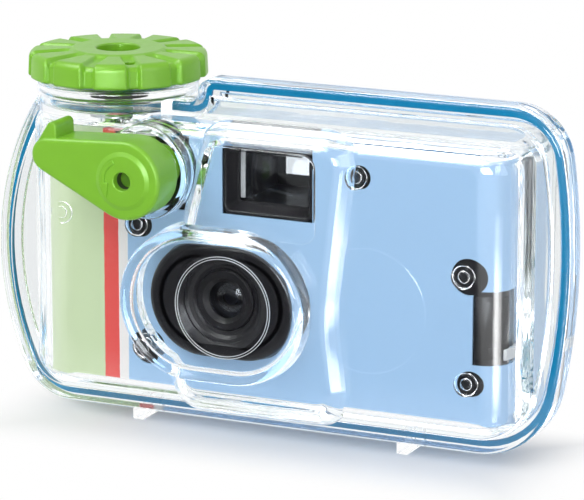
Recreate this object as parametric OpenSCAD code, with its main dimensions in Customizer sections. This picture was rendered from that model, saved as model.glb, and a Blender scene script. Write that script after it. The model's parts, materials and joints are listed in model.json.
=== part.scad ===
// Single-use film camera in a clear waterproof case, millimetres, +Z up.
// The front faces -Y, x = 0 and y = 0 are the middle of the overall box, z = 0 is the underside of the feet.

/* [Film] */
// Radius of the film cartridge
cart_r = 12.25; // [11.5:0.05:13]
// Height of the can of the film cartridge
cart_h = 47; // [45:0.5:52]
// Width of the film
film_w = 35; // [32:0.5:36]
// Width of the picture on the film
gate_w = 36; // [30:1:37]
// Height of the picture on the film
gate_h = 24; // [20:1:26]
// Room under the film, from the camera's floor
film_seat = 1.4; // [1:0.1:3]

/* [Camera inside] */
// Width of the boxed camera
cam_w = 107.7; // [104:0.1:116]
// Radius of the camera's right corners, seen from above
cam_corner_r = 5; // [3:0.5:8]
// Radius of the camera's left corners, seen from above
cam_end_r = 13; // [9:0.5:13.5]
// Radius of the camera's corners in front view
cam_edge_r = 2; // [1:0.1:2.5]
// Thickness of the printed card
card_t = 0.4; // [0.3:0.1:0.8]
// Wall of the camera's plastic covers
cover_t = 1.2; // [1:0.1:1.8]
// Sideways place of the lens from the camera's middle
lens_x_off = -6.45; // [-9:0.05:-4]
// Radius of the taking lens
lens_r = 4.6; // [4:0.1:5.2]
// Width of the finder window
finder_w = 20.4; // [17:0.1:22]
// Height of the finder window's sill above the camera's underside
finder_sill = 38.4; // [37.5:0.1:40]
// Sideways place of the finder from the camera's middle
finder_x_off = 2.35; // [0:0.05:4]

/* [Clear case] */
// Wall of the clear shells
wall = 2; // [1.6:0.1:2.6]
// Room between the camera and the shells
case_gap = 1; // [0.8:0.1:2]
// Room under the camera
seat_gap = 0.3; // [0.1:0.05:0.6]
// Thickness of each half of the flange
flange_t = 3.5; // [3:0.1:5]
// Reach of the flange past the block on the left
lip_left = 7.3; // [6:0.1:10]
// Reach of the flange past the block on the right
lip_right = 9.1; // [7:0.1:12]
// Reach of the flange above the block
lip_top = 8.1; // [7.5:0.1:10]
// Reach of the flange below the block
lip_bottom = 5.8; // [5.6:0.1:9]
// Corner radius of the flange
flange_r = 12; // [9:0.5:16]
// Corner radius of the flange below on the right
low_r = 17; // [14:0.5:19]
// Corner radius of the block in front view
block_r = 5; // [4.5:0.1:6]
// Rounding of the block's front and back edges
edge_r = 3.6; // [2.4:0.1:4.5]
// Corner radius of the flange beside the wind tower
head_r = 5; // [3:0.5:8]
// Radius of the bulging left end
bulge_r = 62; // [56:1:80]
// Radius of the bulging right end
side_r = 140; // [120:1:200]
// Inset of the second ridge from the flange's edge
ridge_in = 3.2; // [2.5:0.1:4.5]
// Depth of the second ridge
ridge_t = 3.6; // [2:0.1:4.5]
// Depth of the third ridge
step_t = 1.3; // [0.8:0.1:2]
// Distance from the seam to the front of the camera
seam_set = 9; // [8:0.1:11]
// Height of the raised middle of the front
island_h = 3; // [2:0.1:4]
// Reach of the lens port in front of the raised middle
port_h = 4.5; // [3:0.1:6]
// Half height of the lens port
port_r = 16; // [15.5:0.1:17.5]
// Half of the lens port's extra width
port_x = 4.9; // [4:0.1:6]
// Width of the gasket
gasket_w = 1.2; // [1:0.1:2.4]
// Thickness of the gasket
gasket_t = 1.3; // [1:0.1:1.8]
// Inset of the gasket from the flange's edge
gasket_in = 1.2; // [0.8:0.1:1.4]
// Height of the feet
foot_h = 2.2; // [1.8:0.1:4]
// Length of each foot along the case, under the flange
foot_w = 4.8; // [4:0.1:8]
// Length of each foot along the case, on the table
foot_tip = 2.4; // [2:0.1:4]

/* [Wind knob] */
// Radius of the knob
knob_r = 19; // [17:0.1:20]
// Height of the knob
knob_h = 5.8; // [5:0.1:8]
// Number of lobes on the knob
knob_lobes = 12; // [8:1:16]
// Turn of the knob's first channel from the X axis
knob_turn = 7.4; // [4:0.1:12]
// Radius of the wind shaft
shaft_r = 3; // [2.4:0.1:3.2]
// Radius of the tower under the knob
tower_r = 16.6; // [15.6:0.1:17]
// Height of the tower above the block
tower_h = 5.1; // [4.6:0.1:7]
// Room between the tower and the knob
knob_gap = 0.8; // [0.4:0.1:1.5]

/* [Shutter lever] */
// Sideways distance from the knob's axis to the lever's pivot
lever_x_off = 17; // [16:0.1:18]
// Drop of the lever's pivot below the camera's top
lever_drop = 6.5; // [6:0.1:7]
// Radius of the lever's hub
hub_r = 8.2; // [7.5:0.1:8.6]
// Radius of the clear boss behind the lever
boss_r = 9.9; // [9:0.1:10.5]
// Reach of the boss in front of the shell
boss_h = 5; // [4.5:0.1:6.5]
// Thickness of the lever
lever_t = 9.6; // [8:0.1:11]
// Length from the pivot to the middle of the lever's tip
lever_l = 17.9; // [15:0.1:20]
// Rise of the lever's tip above its pivot
lever_rise = 3.8; // [2:0.1:5]
// Radius of the lever's tip
tip_r = 3.6; // [2.8:0.1:4.2]
// Radius of the lever's shaft
pin_r = 3; // [2.4:0.1:3.2]

/* [Fits] */
// Running clearance of shafts in their bores, on the radius
fit = 0.05; // [0.03:0.01:0.1]
// Clearance between pieces that move past each other
clear = 0.3; // [0.25:0.05:0.4]
// Clearance between pieces that are laid into each other
lay = 0.1; // [0.05:0.05:0.2]

/* [Hidden] */
$fn = 64;
hull_fn = 32;
far = 400;
eps = 0.01;
skin = 0.4;

// Stack of the camera's height, from its underside up
wheel_t = 1.8;
part_t = 0.6;
cart_seat = lay;
cam_z0 = foot_h + lip_bottom + wall + seat_gap;
cover_z0 = cam_z0 + card_t;
room_z0 = cover_z0 + cover_t;
cart_z0 = room_z0 + cart_seat;
cart_z1 = cart_z0 + cart_h;
part_z0 = cart_z1 + clear;
wheel_z0 = part_z0 + part_t + clear;
wheel_z1 = wheel_z0 + wheel_t;
room_z1 = wheel_z1 + clear;
cover_z1 = room_z1 + cover_t;
cam_z1 = cover_z1 + card_t;
cam_h = cam_z1 - cam_z0;

// Depth of the camera, set by the cartridge
cam_d = 2 * (card_t + cover_t + lay + fit + cart_r);
// Seam between the shells, placed so that the lever and the knob reach equally far from y = 0
front_reach = seam_set + case_gap + wall + boss_h + clear + lay + lever_t;
back_reach = cam_d / 2 - seam_set + knob_r;
seam_y = (front_reach - back_reach) / 2;
cam_shift = (lip_left - lip_right) / 2;
cam_y0 = seam_y - seam_set;
cam_y1 = cam_y0 + cam_d;
cam_x0 = cam_shift - cam_w / 2;
cam_x1 = cam_shift + cam_w / 2;
room_y0 = cam_y0 + card_t + cover_t;
room_y1 = cam_y1 - card_t - cover_t;
split_y = (cam_y0 + cam_y1) / 2 + 3;

// Block of the shells round the camera
block_x0 = cam_x0 - case_gap - wall;
block_x1 = cam_x1 + case_gap + wall;
block_z0 = foot_h + lip_bottom;
block_z1 = cam_z1 + case_gap + wall;
block_y0 = cam_y0 - case_gap - wall;
block_y1 = cam_y1 + case_gap + wall;
flange_x0 = block_x0 - lip_left;
flange_x1 = block_x1 + lip_right;
flange_z0 = foot_h;
flange_z1 = block_z1 + lip_top;
step_in = 2 * ridge_in + 0.3;
step_y0 = seam_y - flange_t - ridge_t - step_t;
step_y1 = seam_y + flange_t + ridge_t + step_t;
bulge_x = flange_x0 + bulge_r;
bulge_z = (flange_z0 + flange_z1) / 2 - 3.4;
side_x = flange_x1 - side_r;
side_z = (flange_z0 + flange_z1) / 2 + 5.5;

// Wind axis, over the cartridge
cart_gap = 0.65;
wind_x = cam_x0 + card_t + cover_t + cart_gap + cart_r;
wind_y = (cam_y0 + cam_y1) / 2;
tower_z1 = block_z1 + tower_h;
hood_t = 1.8;
shoulder_z1 = tower_z1 - hood_t - clear;
hollow_z1 = block_z1 - wall + 0.9;
notch_x = wind_x + tower_r + 6;
notch_r = 3;
notch_in = 2;
knob_z0 = tower_z1 + knob_gap;
knob_z1 = knob_z0 + knob_h;
shaft_boss_r = min(shaft_r + 1.9, wind_y - seam_y - lay);
clip_t = 0.8;
clip_z0 = cam_z1 + 0.35;
groove_d = 0.6;
recess_r = 4.6;
recess_d = 3;
seal_r = 0.75;
seal_z = tower_z1 - 1.6;

// Lens and finder
lens_x = cam_shift + lens_x_off;
lens_z = room_z0 + film_seat + film_w / 2;
island_y0 = block_y0 - island_h;
port_y0 = island_y0 - port_h;
bezel_r = 12.1;
bezel_x = 4.5;
bezel_reach = 3.9;
bezel_y0 = cam_y0 - bezel_reach;
bezel_round = 2.4;
barrel_r = 6.5;
barrel_y0 = bezel_y0 + 2.6;
light_r = 2.4;
island_left = lens_x - 5.2;
island_right = lens_x + 24.8;
finder_x0 = cam_shift + finder_x_off - finder_w / 2;
finder_x1 = finder_x0 + finder_w;
finder_z0 = cam_z0 + finder_sill;
finder_wall = 1.2;
eyepiece_x0 = (finder_x0 + finder_x1) / 2 - 6.6;
eyepiece_x1 = eyepiece_x0 + 8;
eyepiece_z0 = finder_z0 + 4.4;
eyepiece_z1 = eyepiece_z0 + 5;

// Lever axis
lever_x = wind_x + lever_x_off;
lever_z = cam_z1 - lever_drop;
boss_y0 = block_y0 - boss_h;
lever_y1 = boss_y0 - clear - lay;
lever_y0 = lever_y1 - lever_t;
tip_x = lever_x - sqrt(lever_l * lever_l - lever_rise * lever_rise);
tip_z = lever_z + lever_rise;
lever_bore = 6;
arm_t = 1.6;
arm_y1 = block_y0 + wall + clear + arm_t;
pin_y1 = arm_y1 + lay;
arm_hub_r = pin_r + 1.6;
pocket_y1 = pin_y1 + 1.4;
spring_r = pin_r + 0.5;
spring_wire = 0.9;
spring_d = 2.6;

// Shutter button under the release arm
button_r = 2.4;
button_x = lever_x - 5.4;
button_y = cam_y0 + 4.4;
arm_reach_z = 6.4;
finger_t = 1.5;
finger_z0 = lever_z + arm_reach_z - finger_t;
button_z1 = finger_z0 - clear;
button_h = 2;
button_travel = 2.6;
stem_r = 1.5;
stem_h = 5.2;
pocket_x0 = button_x - 4.6;
pocket_x1 = lever_x + arm_hub_r + 2;
pocket_z0 = lever_z - arm_hub_r - 4;
well_z0 = button_z1 - button_h - button_travel - 0.4;

// Film path and rollers
film_t = 0.2;
film_y0 = room_y1 - 1.2;
film_z0 = lens_z - film_w / 2;
supply_z0 = film_z0 - clear - lay;
body_y1 = film_y0 - lay;
roll_r = 9.5;
roll_x = cam_x1 - card_t - cover_t - roll_r - 3;
roll_y = film_y0 - lay - roll_r;
core_r = 4;
spool_r = cart_r * 0.457;
spool_neck = cart_r * 0.327;
peg_r = 1.5;
gate_x0 = lens_x - gate_w / 2;
gate_x1 = lens_x + gate_w / 2;
gate_z0 = lens_z - gate_h / 2;
sprocket_r = 5.2;
sprocket_x = gate_x1 + sprocket_r + 2;
sprocket_y = film_y0 - clear - sprocket_r;
sprocket_z = film_z0 + film_w - 3;
sprocket_t = 2;
sprocket_pin = 1.2;
disc_r = 7.5;
disc_x = roll_x - 4;
disc_y = wind_y - 1;
disc_t = 1;
wheel_r = 9;
wheel_teeth = 24;
pawl_t = 1.2;
pawl_x = wind_x + wheel_r + 3.4;
pawl_y = wind_y + 4.5;
pawl_pin = 0.9;

// Shutter behind the lens
board_t = 1;
board_y0 = room_y0 + lay;
board_y1 = board_y0 + board_t;
board_w = 26;
board_h = 20;
blade_t = 0.4;
blade_y0 = board_y1 + clear;
blade_room = 0.6;
shutter_y1 = blade_y0 + blade_t + blade_room;
blade_x = lens_x + board_w / 2 - 4.5;
blade_z = lens_z + 3;
blade_pin = 1;
stop_r = 1.5;

// Pegs that hold the camera against the front: place from the middle of its underside, radius of the card's hole
pegs = [[-27.5, 34.2, 2.7], [-26, 8.1, 3.8], [22.3, 48.9, 2.5], [46, 30.7, 3.8], [46.8, 8.5, 2.7], [-45, 35.1, 0]];
peg_pad_r = 2.3;
rear_pads_x = [-0.28 * cam_w, 0.28 * cam_w];
rear_pads_z = [-0.28 * cam_h, 0.28 * cam_h];
feet_x = [-32.4, 28.7];

// Extrudes an outline drawn in x and z from y0 back to y1
module slab(y0, y1) {
    translate([0, y1, 0]) rotate([90, 0, 0]) linear_extrude(y1 - y0) children();
}

// Cylinder along Y from y0 to y1 about the point x, z
module rod(x, z, r, y0, y1) {
    translate([x, y1, z]) rotate([90, 0, 0]) cylinder(r = r, h = y1 - y0);
}

// Cylinder along Z from z0 to z1 about the point x, y
module post(x, y, r, z0, z1) {
    translate([x, y, z0]) cylinder(r = r, h = z1 - z0);
}

// Box between two corners
module span(a, b) {
    translate(a) cube(b - a);
}

// Rectangle with rounded corners between two corners of the plane
module soft_rect(x0, z0, x1, z1, r) {
    translate([x0 + r, z0]) square([x1 - x0 - 2 * r, z1 - z0]);
    translate([x0, z0 + r]) square([x1 - x0, z1 - z0 - 2 * r]);
    for (x = [x0 + r, x1 - r])
        for (z = [z0 + r, z1 - r])
            translate([x, z]) circle(r);
}

// Points of an arc about a centre, from one angle to another
function arc(x, z, r, from, to, steps) =
    [for (i = [0 : steps]) let (a = from + (to - from) * i / steps) [x + r * cos(a), z + r * sin(a)]];

// Centre of the fillet between a bulging end about x, z and a level line; way is -1 left, side is -1 below
function fillet_at(x, z, bulge, way, level, r, side) =
    [x + way * sqrt(pow(bulge - r, 2) - pow(z - level + side * r, 2)), level - side * r];

// Outline of the flange with its bulging ends, which steps down beside the wind tower
module flange_outline(inset) {
    r = flange_r - inset;
    top_r = max(notch_r - inset, skin / 2);
    low = fillet_at(side_x, side_z, side_r, 1, flange_z0, low_r, -1);
    high = fillet_at(side_x, side_z, side_r, 1, flange_z1, flange_r, 1);
    low_turn = atan2(low[1] - side_z, low[0] - side_x);
    high_turn = atan2(high[1] - side_z, high[0] - side_x);
    foot = fillet_at(bulge_x, bulge_z, bulge_r, -1, flange_z0, flange_r, -1);
    head = fillet_at(bulge_x, bulge_z, bulge_r, -1, shoulder_z1, head_r, 1);
    foot_turn = atan2(foot[1] - bulge_z, foot[0] - bulge_x) + 360;
    head_turn = atan2(head[1] - bulge_z, head[0] - bulge_x);
    polygon(concat(
        arc(low[0], low[1], low_r - inset, -90, low_turn, 10),
        arc(side_x, side_z, side_r - inset, low_turn, 0, 4),
        arc(side_x, side_z, side_r - inset, 0, high_turn, 4),
        arc(high[0], high[1], r, high_turn, 90, 10),
        arc(notch_x + inset + top_r, flange_z1 - inset - top_r, top_r, 90, 180, 4),
        arc(notch_x - notch_in, shoulder_z1 + notch_in, notch_in + inset, 0, -90, 4),
        arc(head[0], head[1], head_r - inset, 90, head_turn, 6),
        arc(bulge_x, bulge_z, bulge_r - inset, head_turn, foot_turn, 14),
        arc(foot[0], foot[1], r, foot_turn, 270, 8)));
}

// Four rods along Y that span a rounded rectangle, smaller by inset all round
module corner_rods(x0, z0, x1, z1, r, inset, y0, y1) {
    rod_r = max(r - inset, skin);
    at = inset + rod_r;
    for (x = [x0 + at, x1 - at])
        for (z = [z0 + at, z1 - at])
            rod(x, z, rod_r, min(y0, y1), max(y0, y1));
}

module block_layer(inset, y0, y1) {
    corner_rods(block_x0, block_z0, block_x1, block_z1, block_r, inset, y0, y1);
}

// Block with a rounded face, from y_seam to the face at y_face, smaller by inset all round
module block_body(y_seam, y_face, inset, r) {
    way = sign(y_face - y_seam);
    face = y_face - way * inset;
    hull($fn = hull_fn) {
        block_layer(inset, y_seam, face - way * r);
        block_layer(inset + r * 0.3, face - way * (r * 0.3 + skin / 2), face - way * r * 0.3);
        block_layer(inset + r, face - way * skin / 2, face);
    }
}

// Raised middle of the front, smaller by inset all round
module island_body(inset) {
    slope = 1.5;
    r = 3.2;
    hull($fn = hull_fn) {
        corner_rods(island_left - slope, block_z0, island_right + slope, block_z1, r, inset,
            block_y0 + edge_r, block_y0 + edge_r + skin);
        corner_rods(island_left, block_z0 + edge_r, island_right, block_z1 - edge_r, r, inset,
            island_y0 + inset, island_y0 + inset + skin);
    }
}

// Oval outline of the lens port and of the lens bezel
module oval(r, half) {
    translate([lens_x - half, lens_z - r]) square([2 * half, 2 * r]);
    for (x = [-half, half]) translate([lens_x + x, lens_z]) circle(r);
}

// Lens bezel with a rounded edge
module bezel_body() {
    back = cam_y0 + card_t + eps;
    hull($fn = hull_fn) for (x = [lens_x - bezel_x, lens_x + bezel_x]) {
        rod(x, lens_z, bezel_r, bezel_y0 + bezel_round, back);
        rod(x, lens_z, bezel_r - bezel_round * 0.3, bezel_y0 + bezel_round * 0.3, back);
        rod(x, lens_z, bezel_r - bezel_round, bezel_y0, back);
    }
}

// Wind tower as a plain round column
module tower_column(r, z0, z1) {
    post(wind_x, wind_y, r, z0, z1);
}

module front_half() {
    span([-far, -far, -far], [far, seam_y, far]);
}

module rear_half() {
    span([-far, seam_y, -far], [far, far, far]);
}

// Side view of a foot whose left end stands at x, up to height z, one end square and the other sloping
module foot_outline(x, z) {
    reach = foot_tip + (foot_w - foot_tip) * z / flange_z0;
    polygon([[x, 0], [x + foot_tip, 0], [x + reach, z], [x, z]]);
}

// Foot that hooks under and behind the rear flange
module foot_hook(x) {
    hook_back = seam_y + flange_t + 6.5;
    hook_rise = 2.6;
    slab(seam_y - flange_t, seam_y) foot_outline(x, flange_z0 + skin);
    slab(seam_y - eps, hook_back) foot_outline(x, flange_z0 - lay);
    span([x, seam_y + flange_t + lay, foot_h / 2], [x + foot_tip, hook_back, flange_z0 + hook_rise]);
}

module front_shell() {
    color([0.9, 0.95, 1, 0.35]) {
        difference() {
            union() {
                slab(seam_y - flange_t, seam_y) flange_outline(0);
                slab(seam_y - flange_t - ridge_t, seam_y - flange_t) flange_outline(ridge_in);
                slab(step_y0, seam_y - flange_t) flange_outline(step_in);
                block_body(seam_y, block_y0, 0, edge_r);
                island_body(0);
                slab(port_y0, block_y0 + edge_r) oval(port_r, port_x);
                rod(lever_x, lever_z, boss_r, boss_y0, block_y0 + wall);
                intersection() {
                    tower_column(tower_r, block_z1 - edge_r - wall, shoulder_z1);
                    front_half();
                }
                for (x = feet_x) foot_hook(cam_shift + x);
            }
            block_body(seam_y + 1, block_y0, wall, case_gap);
            island_body(wall);
            slab(port_y0 + wall, block_y0 + edge_r + wall) oval(port_r - wall, port_x);
            intersection() {
                tower_column(tower_r - wall, block_z1 - edge_r - 2 * wall, hollow_z1);
                front_half();
            }
            rod(lever_x, lever_z, pin_r + fit, boss_y0 - 1, block_y0 + wall + 1);
            rod(lever_x, lever_z, spring_r + spring_wire + lay, boss_y0 - 1, boss_y0 + spring_d);
            rod(lever_x, lever_z, pin_r + fit + 2 * seal_r, boss_y0 + spring_d + 0.6,
                boss_y0 + spring_d + 0.6 + 2 * seal_r);
        }
        for (p = pegs)
            rod(cam_shift + p[0], cam_z0 + p[1], peg_pad_r, cam_y0 - case_gap - wall / 2, cam_y0);
    }
}

module rear_shell() {
    color([0.9, 0.95, 1, 0.35]) {
        difference() {
            union() {
                slab(seam_y, seam_y + flange_t) flange_outline(0);
                slab(seam_y + flange_t, seam_y + flange_t + ridge_t) flange_outline(ridge_in);
                slab(seam_y + flange_t, step_y1) flange_outline(step_in);
                block_body(seam_y, block_y1, 0, edge_r);
                intersection() {
                    tower_column(tower_r, block_z1 - edge_r - wall, tower_z1);
                    rear_half();
                }
                tower_column(tower_r, tower_z1 - hood_t, tower_z1);
            }
            difference() {
                union() {
                    block_body(seam_y - 1, block_y1, wall, case_gap);
                    intersection() {
                        tower_column(tower_r - wall, block_z1 - edge_r - 2 * wall, hollow_z1);
                        rear_half();
                    }
                }
                post(wind_x, wind_y, shaft_boss_r, clip_z0 + clip_t + lay, hollow_z1 + 1);
            }
            slab(seam_y - 1, seam_y + gasket_t) difference() {
                flange_outline(gasket_in);
                flange_outline(gasket_in + gasket_w);
            }
            post(wind_x, wind_y, shaft_r + fit, cam_z1, tower_z1 + 1);
            post(wind_x, wind_y, shaft_r + fit + 2 * seal_r, seal_z - seal_r, seal_z + seal_r);
        }
        for (x = rear_pads_x)
            for (z = rear_pads_z)
                rod(cam_shift + x, cam_z0 + cam_h / 2 + z, peg_pad_r, cam_y1, cam_y1 + case_gap + wall / 2);
    }
}

module shell_gasket() {
    color("deepskyblue") slab(seam_y, seam_y + gasket_t) difference() {
        flange_outline(gasket_in);
        flange_outline(gasket_in + gasket_w);
    }
}

module wind_knob() {
    bevel = 0.9;
    channel_w = 2.5;
    channel_d = 0.85;
    mark_r = 1.2;
    mark_at = 13.4 / 19 * knob_r;
    color("yellowgreen") difference() {
        translate([wind_x, wind_y, 0]) rotate_extrude()
            polygon([[0, knob_z0], [knob_r - bevel / 2, knob_z0], [knob_r, knob_z0 + bevel],
                [knob_r, knob_z1 - bevel], [knob_r - bevel, knob_z1], [0, knob_z1]]);
        post(wind_x, wind_y, recess_r, knob_z1 - recess_d, knob_z1 + 1);
        post(wind_x, wind_y, shaft_r, knob_z0 - 1, knob_z1);
        translate([wind_x, wind_y, 0]) rotate(knob_turn - 720 / knob_lobes)
            post(mark_at, 0, mark_r, knob_z0 - 1, knob_z1 + 1);
        for (i = [0 : knob_lobes - 1])
            translate([wind_x, wind_y, 0]) rotate(knob_turn + i * 360 / knob_lobes) {
                corner = [knob_r + 1, channel_w / 2, knob_z1 + 1];
                span([knob_r - channel_d, -channel_w / 2, knob_z0 - 1], corner);
                span([knob_r * 0.55, -channel_w / 2, knob_z1 - channel_d], corner);
            }
    }
}

module knob_screw() {
    head_r = 2.6;
    head_h = 1.5;
    slot = 0.7;
    color("dimgray") difference() {
        union() {
            post(wind_x, wind_y, head_r, knob_z1 - recess_d, knob_z1 - recess_d + head_h);
            post(wind_x, wind_y, shaft_r / 3, knob_z1 - recess_d - 4, knob_z1 - recess_d + eps);
        }
        for (a = [0, 90]) translate([wind_x, wind_y, 0]) rotate(a)
            span([-head_r * 0.7, -slot / 2, knob_z1 - recess_d + head_h - 0.8], [head_r * 0.7, slot / 2, knob_z1]);
    }
}

module wind_shaft() {
    color("yellowgreen") difference() {
        post(wind_x, wind_y, shaft_r, wheel_z0 + wheel_t / 2, knob_z1 - recess_d);
        difference() {
            post(wind_x, wind_y, shaft_r + 1, clip_z0, clip_z0 + clip_t);
            post(wind_x, wind_y, shaft_r - groove_d, clip_z0 - 1, clip_z0 + clip_t + 1);
        }
        post(wind_x, wind_y, shaft_r / 3, knob_z1 - recess_d - 4, knob_z1);
    }
}

module shaft_seal() {
    color("black") translate([wind_x, wind_y, seal_z]) rotate_extrude()
        translate([shaft_r + fit + seal_r, 0]) circle(seal_r - fit);
}

module shaft_clip() {
    ring = 1.6;
    gap = 2.4;
    color("silver") difference() {
        post(wind_x, wind_y, shaft_r - groove_d + ring, clip_z0, clip_z0 + clip_t);
        post(wind_x, wind_y, shaft_r - groove_d, clip_z0 - 1, clip_z0 + clip_t + 1);
        span([wind_x, wind_y - gap / 2, clip_z0 - 1], [wind_x + far, wind_y + gap / 2, clip_z0 + clip_t + 1]);
    }
}

// Front view of the lever: hub, tapering arm, round tip and upturned ear
module lever_outline() {
    dx = lever_x - tip_x;
    tilt = asin((hub_r - tip_r) / lever_l);
    base = atan2(lever_rise, -dx);
    up = base - 90 + tilt;
    down = base + 90 - tilt;
    translate([lever_x, lever_z]) circle(hub_r);
    translate([tip_x, tip_z]) circle(tip_r);
    polygon([
        [lever_x + hub_r * cos(up), lever_z + hub_r * sin(up)],
        [tip_x + tip_r * cos(up), tip_z + tip_r * sin(up)],
        [tip_x + tip_r * cos(down), tip_z + tip_r * sin(down)],
        [lever_x + hub_r * cos(down), lever_z + hub_r * sin(down)]]);
    polygon([[tip_x - tip_r * 0.94, tip_z + tip_r * 0.3], [tip_x - 0.8, tip_z + tip_r + 2.9],
        [tip_x + 0.4, tip_z + tip_r + 3.5], [tip_x + 2.3, tip_z + tip_r + 3.3],
        [tip_x + 4.7, tip_z + tip_r * 0.9]]);
}

module shutter_lever() {
    hole_r = 1.9;
    rim = 0.9;
    color("yellowgreen") difference() {
        union() {
            slab(lever_y0 + rim, lever_y1) lever_outline();
            rod(lever_x, lever_z, hub_r - 2, lever_y0, lever_y0 + rim + eps);
        }
        rod(lever_x, lever_z, pin_r, lever_y1 - lever_bore, lever_y1 + 1);
        rod(lever_x, lever_z, hole_r, lever_y0 - 1, lever_y1);
    }
}

module lever_shaft() {
    color("yellowgreen") difference() {
        rod(lever_x, lever_z, pin_r, lever_y1 - lever_bore, pin_y1);
        rod(lever_x, lever_z, pin_r / 3, pin_y1 - 4, pin_y1 + 1);
    }
}

module lever_seal() {
    y = boss_y0 + spring_d + 0.6 + seal_r;
    color("black") translate([lever_x, y, lever_z]) rotate([90, 0, 0]) rotate_extrude()
        translate([pin_r + fit + seal_r, 0]) circle(seal_r - fit);
}

module lever_spring() {
    color("silver") difference() {
        rod(lever_x, lever_z, spring_r + spring_wire, boss_y0 + lay, boss_y0 + spring_d);
        rod(lever_x, lever_z, spring_r, boss_y0 - 1, boss_y0 + spring_d + 1);
    }
}

module release_arm() {
    finger_w = 3.6;
    finger_x0 = button_x - finger_w / 2;
    color("yellowgreen") difference() {
        union() {
            rod(lever_x, lever_z, arm_hub_r, arm_y1 - arm_t, arm_y1);
            slab(arm_y1 - arm_t, arm_y1) polygon([[lever_x + arm_hub_r * 0.5, lever_z + arm_hub_r * 0.8],
                [lever_x - arm_hub_r * 0.9, lever_z - arm_hub_r * 0.3], [finger_x0, finger_z0 + finger_t / 2],
                [finger_x0, finger_z0 + finger_t], [finger_x0 + finger_w * 0.8, finger_z0 + finger_t]]);
            span([finger_x0, arm_y1 - arm_t, finger_z0], [finger_x0 + finger_w, button_y + button_r * 0.6,
                finger_z0 + finger_t]);
        }
        rod(lever_x, lever_z, pin_r, arm_y1 - arm_t - 1, arm_y1 + 1);
    }
}

module arm_screw() {
    head_r = pin_r + 0.8;
    head_h = 0.9;
    color("silver") union() {
        rod(lever_x, lever_z, head_r, pin_y1, pin_y1 + head_h);
        rod(lever_x, lever_z, pin_r / 3, pin_y1 - 4, pin_y1 + eps);
    }
}

// Plan of the camera with a rounder left end, moved inwards by inset
module cam_plan(inset) {
    x0 = cam_x0 + inset;
    x1 = cam_x1 - inset;
    y0 = cam_y0 + inset;
    y1 = cam_y1 - inset;
    rl = cam_end_r - inset;
    rr = cam_corner_r - inset;
    translate([x0 + rl, y0]) square([x1 - x0 - rl - rr, y1 - y0]);
    translate([x0, y0 + rl]) square([rl + eps, y1 - y0 - 2 * rl]);
    translate([x1 - rr - eps, y0 + rr]) square([rr + eps, y1 - y0 - 2 * rr]);
    for (y = [y0 + rl, y1 - rl]) translate([x0 + rl, y]) circle(rl);
    for (y = [y0 + rr, y1 - rr]) translate([x1 - rr, y]) circle(rr);
}

// Camera's block with rounded upper and lower edges at its ends, moved inwards by inset
module cam_prism(inset, z0, z1) {
    intersection() {
        translate([0, 0, z0]) linear_extrude(z1 - z0) cam_plan(inset);
        slab(cam_y0 - 1, cam_y1 + 1)
            soft_rect(cam_x0 + inset, z0, cam_x1 - inset, z1, max(cam_edge_r - inset, 0.2));
    }
}

// Pocket for the release arm, open to the front and the top
module arm_pocket(y1, room) {
    span([pocket_x0 - room, -far, pocket_z0 - room], [pocket_x1 + room, y1 + room, far]);
    well_r = button_r + 1.4 + room;
    span([pocket_x0 - room, -far, well_z0], [button_x + well_r, button_y + well_r, far]);
}

// Window of the finder in the front and the top
module finder_window(room, depth) {
    span([finder_x0 - room, -far, finder_z0 - room], [finder_x1 + room, cam_y0 + depth, far]);
}

// Tunnel of the finder through the whole depth
module finder_tunnel(room) {
    span([finder_x0 + finder_wall - room, -far, finder_z0 + finder_wall - room],
        [finder_x1 - finder_wall + room, far, room_z1 - 1.2 + room]);
}

// Small eyepiece window in the back
module eyepiece_window(room) {
    span([eyepiece_x0 - room, wind_y, eyepiece_z0 - room], [eyepiece_x1 + room, far, eyepiece_z1 + room]);
}

module counter_window(room) {
    post(disc_x + disc_r - 2.4, disc_y, 1.7 + room, room_z1 - 1, far);
}

module card_wrap() {
    color("lightblue") difference() {
        cam_prism(0, cam_z0, cam_z1);
        cam_prism(card_t, cover_z0, cover_z1);
        slab(cam_y0 - 1, cam_y0 + 3) oval(bezel_r + 0.4, bezel_x);
        finder_window(0, 6);
        arm_pocket(pocket_y1, 0.3);
        for (p = pegs) if (p[2] > 0)
            rod(cam_shift + p[0] + p[2] * 0.25, cam_z0 + p[1], p[2], cam_y0 - 1, cam_y0 + 3);
        eyepiece_window(0.5);
        counter_window(0.4);
        post(wind_x, wind_y, tower_r - wall - 3.6, cover_z1 - 1, cam_z1 + 1);
        span([cam_x1 - cam_corner_r - 1, cam_y0 - 1, lens_z - 8], [cam_x1 + 1, cam_y0 + 8, lens_z + 7.4]);
    }
}

module front_cover() {
    dish = [[bezel_r - 1.7, bezel_y0], [bezel_r - 3.2, bezel_y0 + 0.8], [bezel_r - 3.2, bezel_y0 + 1.3],
        [barrel_r + 1, bezel_y0 + 2.1], [barrel_r + lay, bezel_y0 + 2.3], [barrel_r + lay, room_y0 + 1],
        [0, room_y0 + 1], [0, bezel_y0 - 1], [bezel_r - 1.7, bezel_y0 - 1]];
    color([0.12, 0.12, 0.13]) difference() {
        union() {
            difference() {
                cam_prism(card_t, cover_z0, cover_z1);
                cam_prism(card_t + cover_t, room_z0, room_z1);
                span([-far, split_y, -far], [far, far, far]);
            }
            bezel_body();
        }
        translate([lens_x, 0, lens_z]) rotate([-90, 0, 0]) rotate_extrude() polygon(dish);
        finder_tunnel(0);
        span([finder_x0, -far, finder_z0], [finder_x1, room_y0 + 1, cover_z1 - cover_t * 0.5]);
        arm_pocket(pocket_y1, 0);
        counter_window(0);
        post(wind_x, wind_y, shaft_r + 1.6, room_z1 - 1, far);
    }
}

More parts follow.
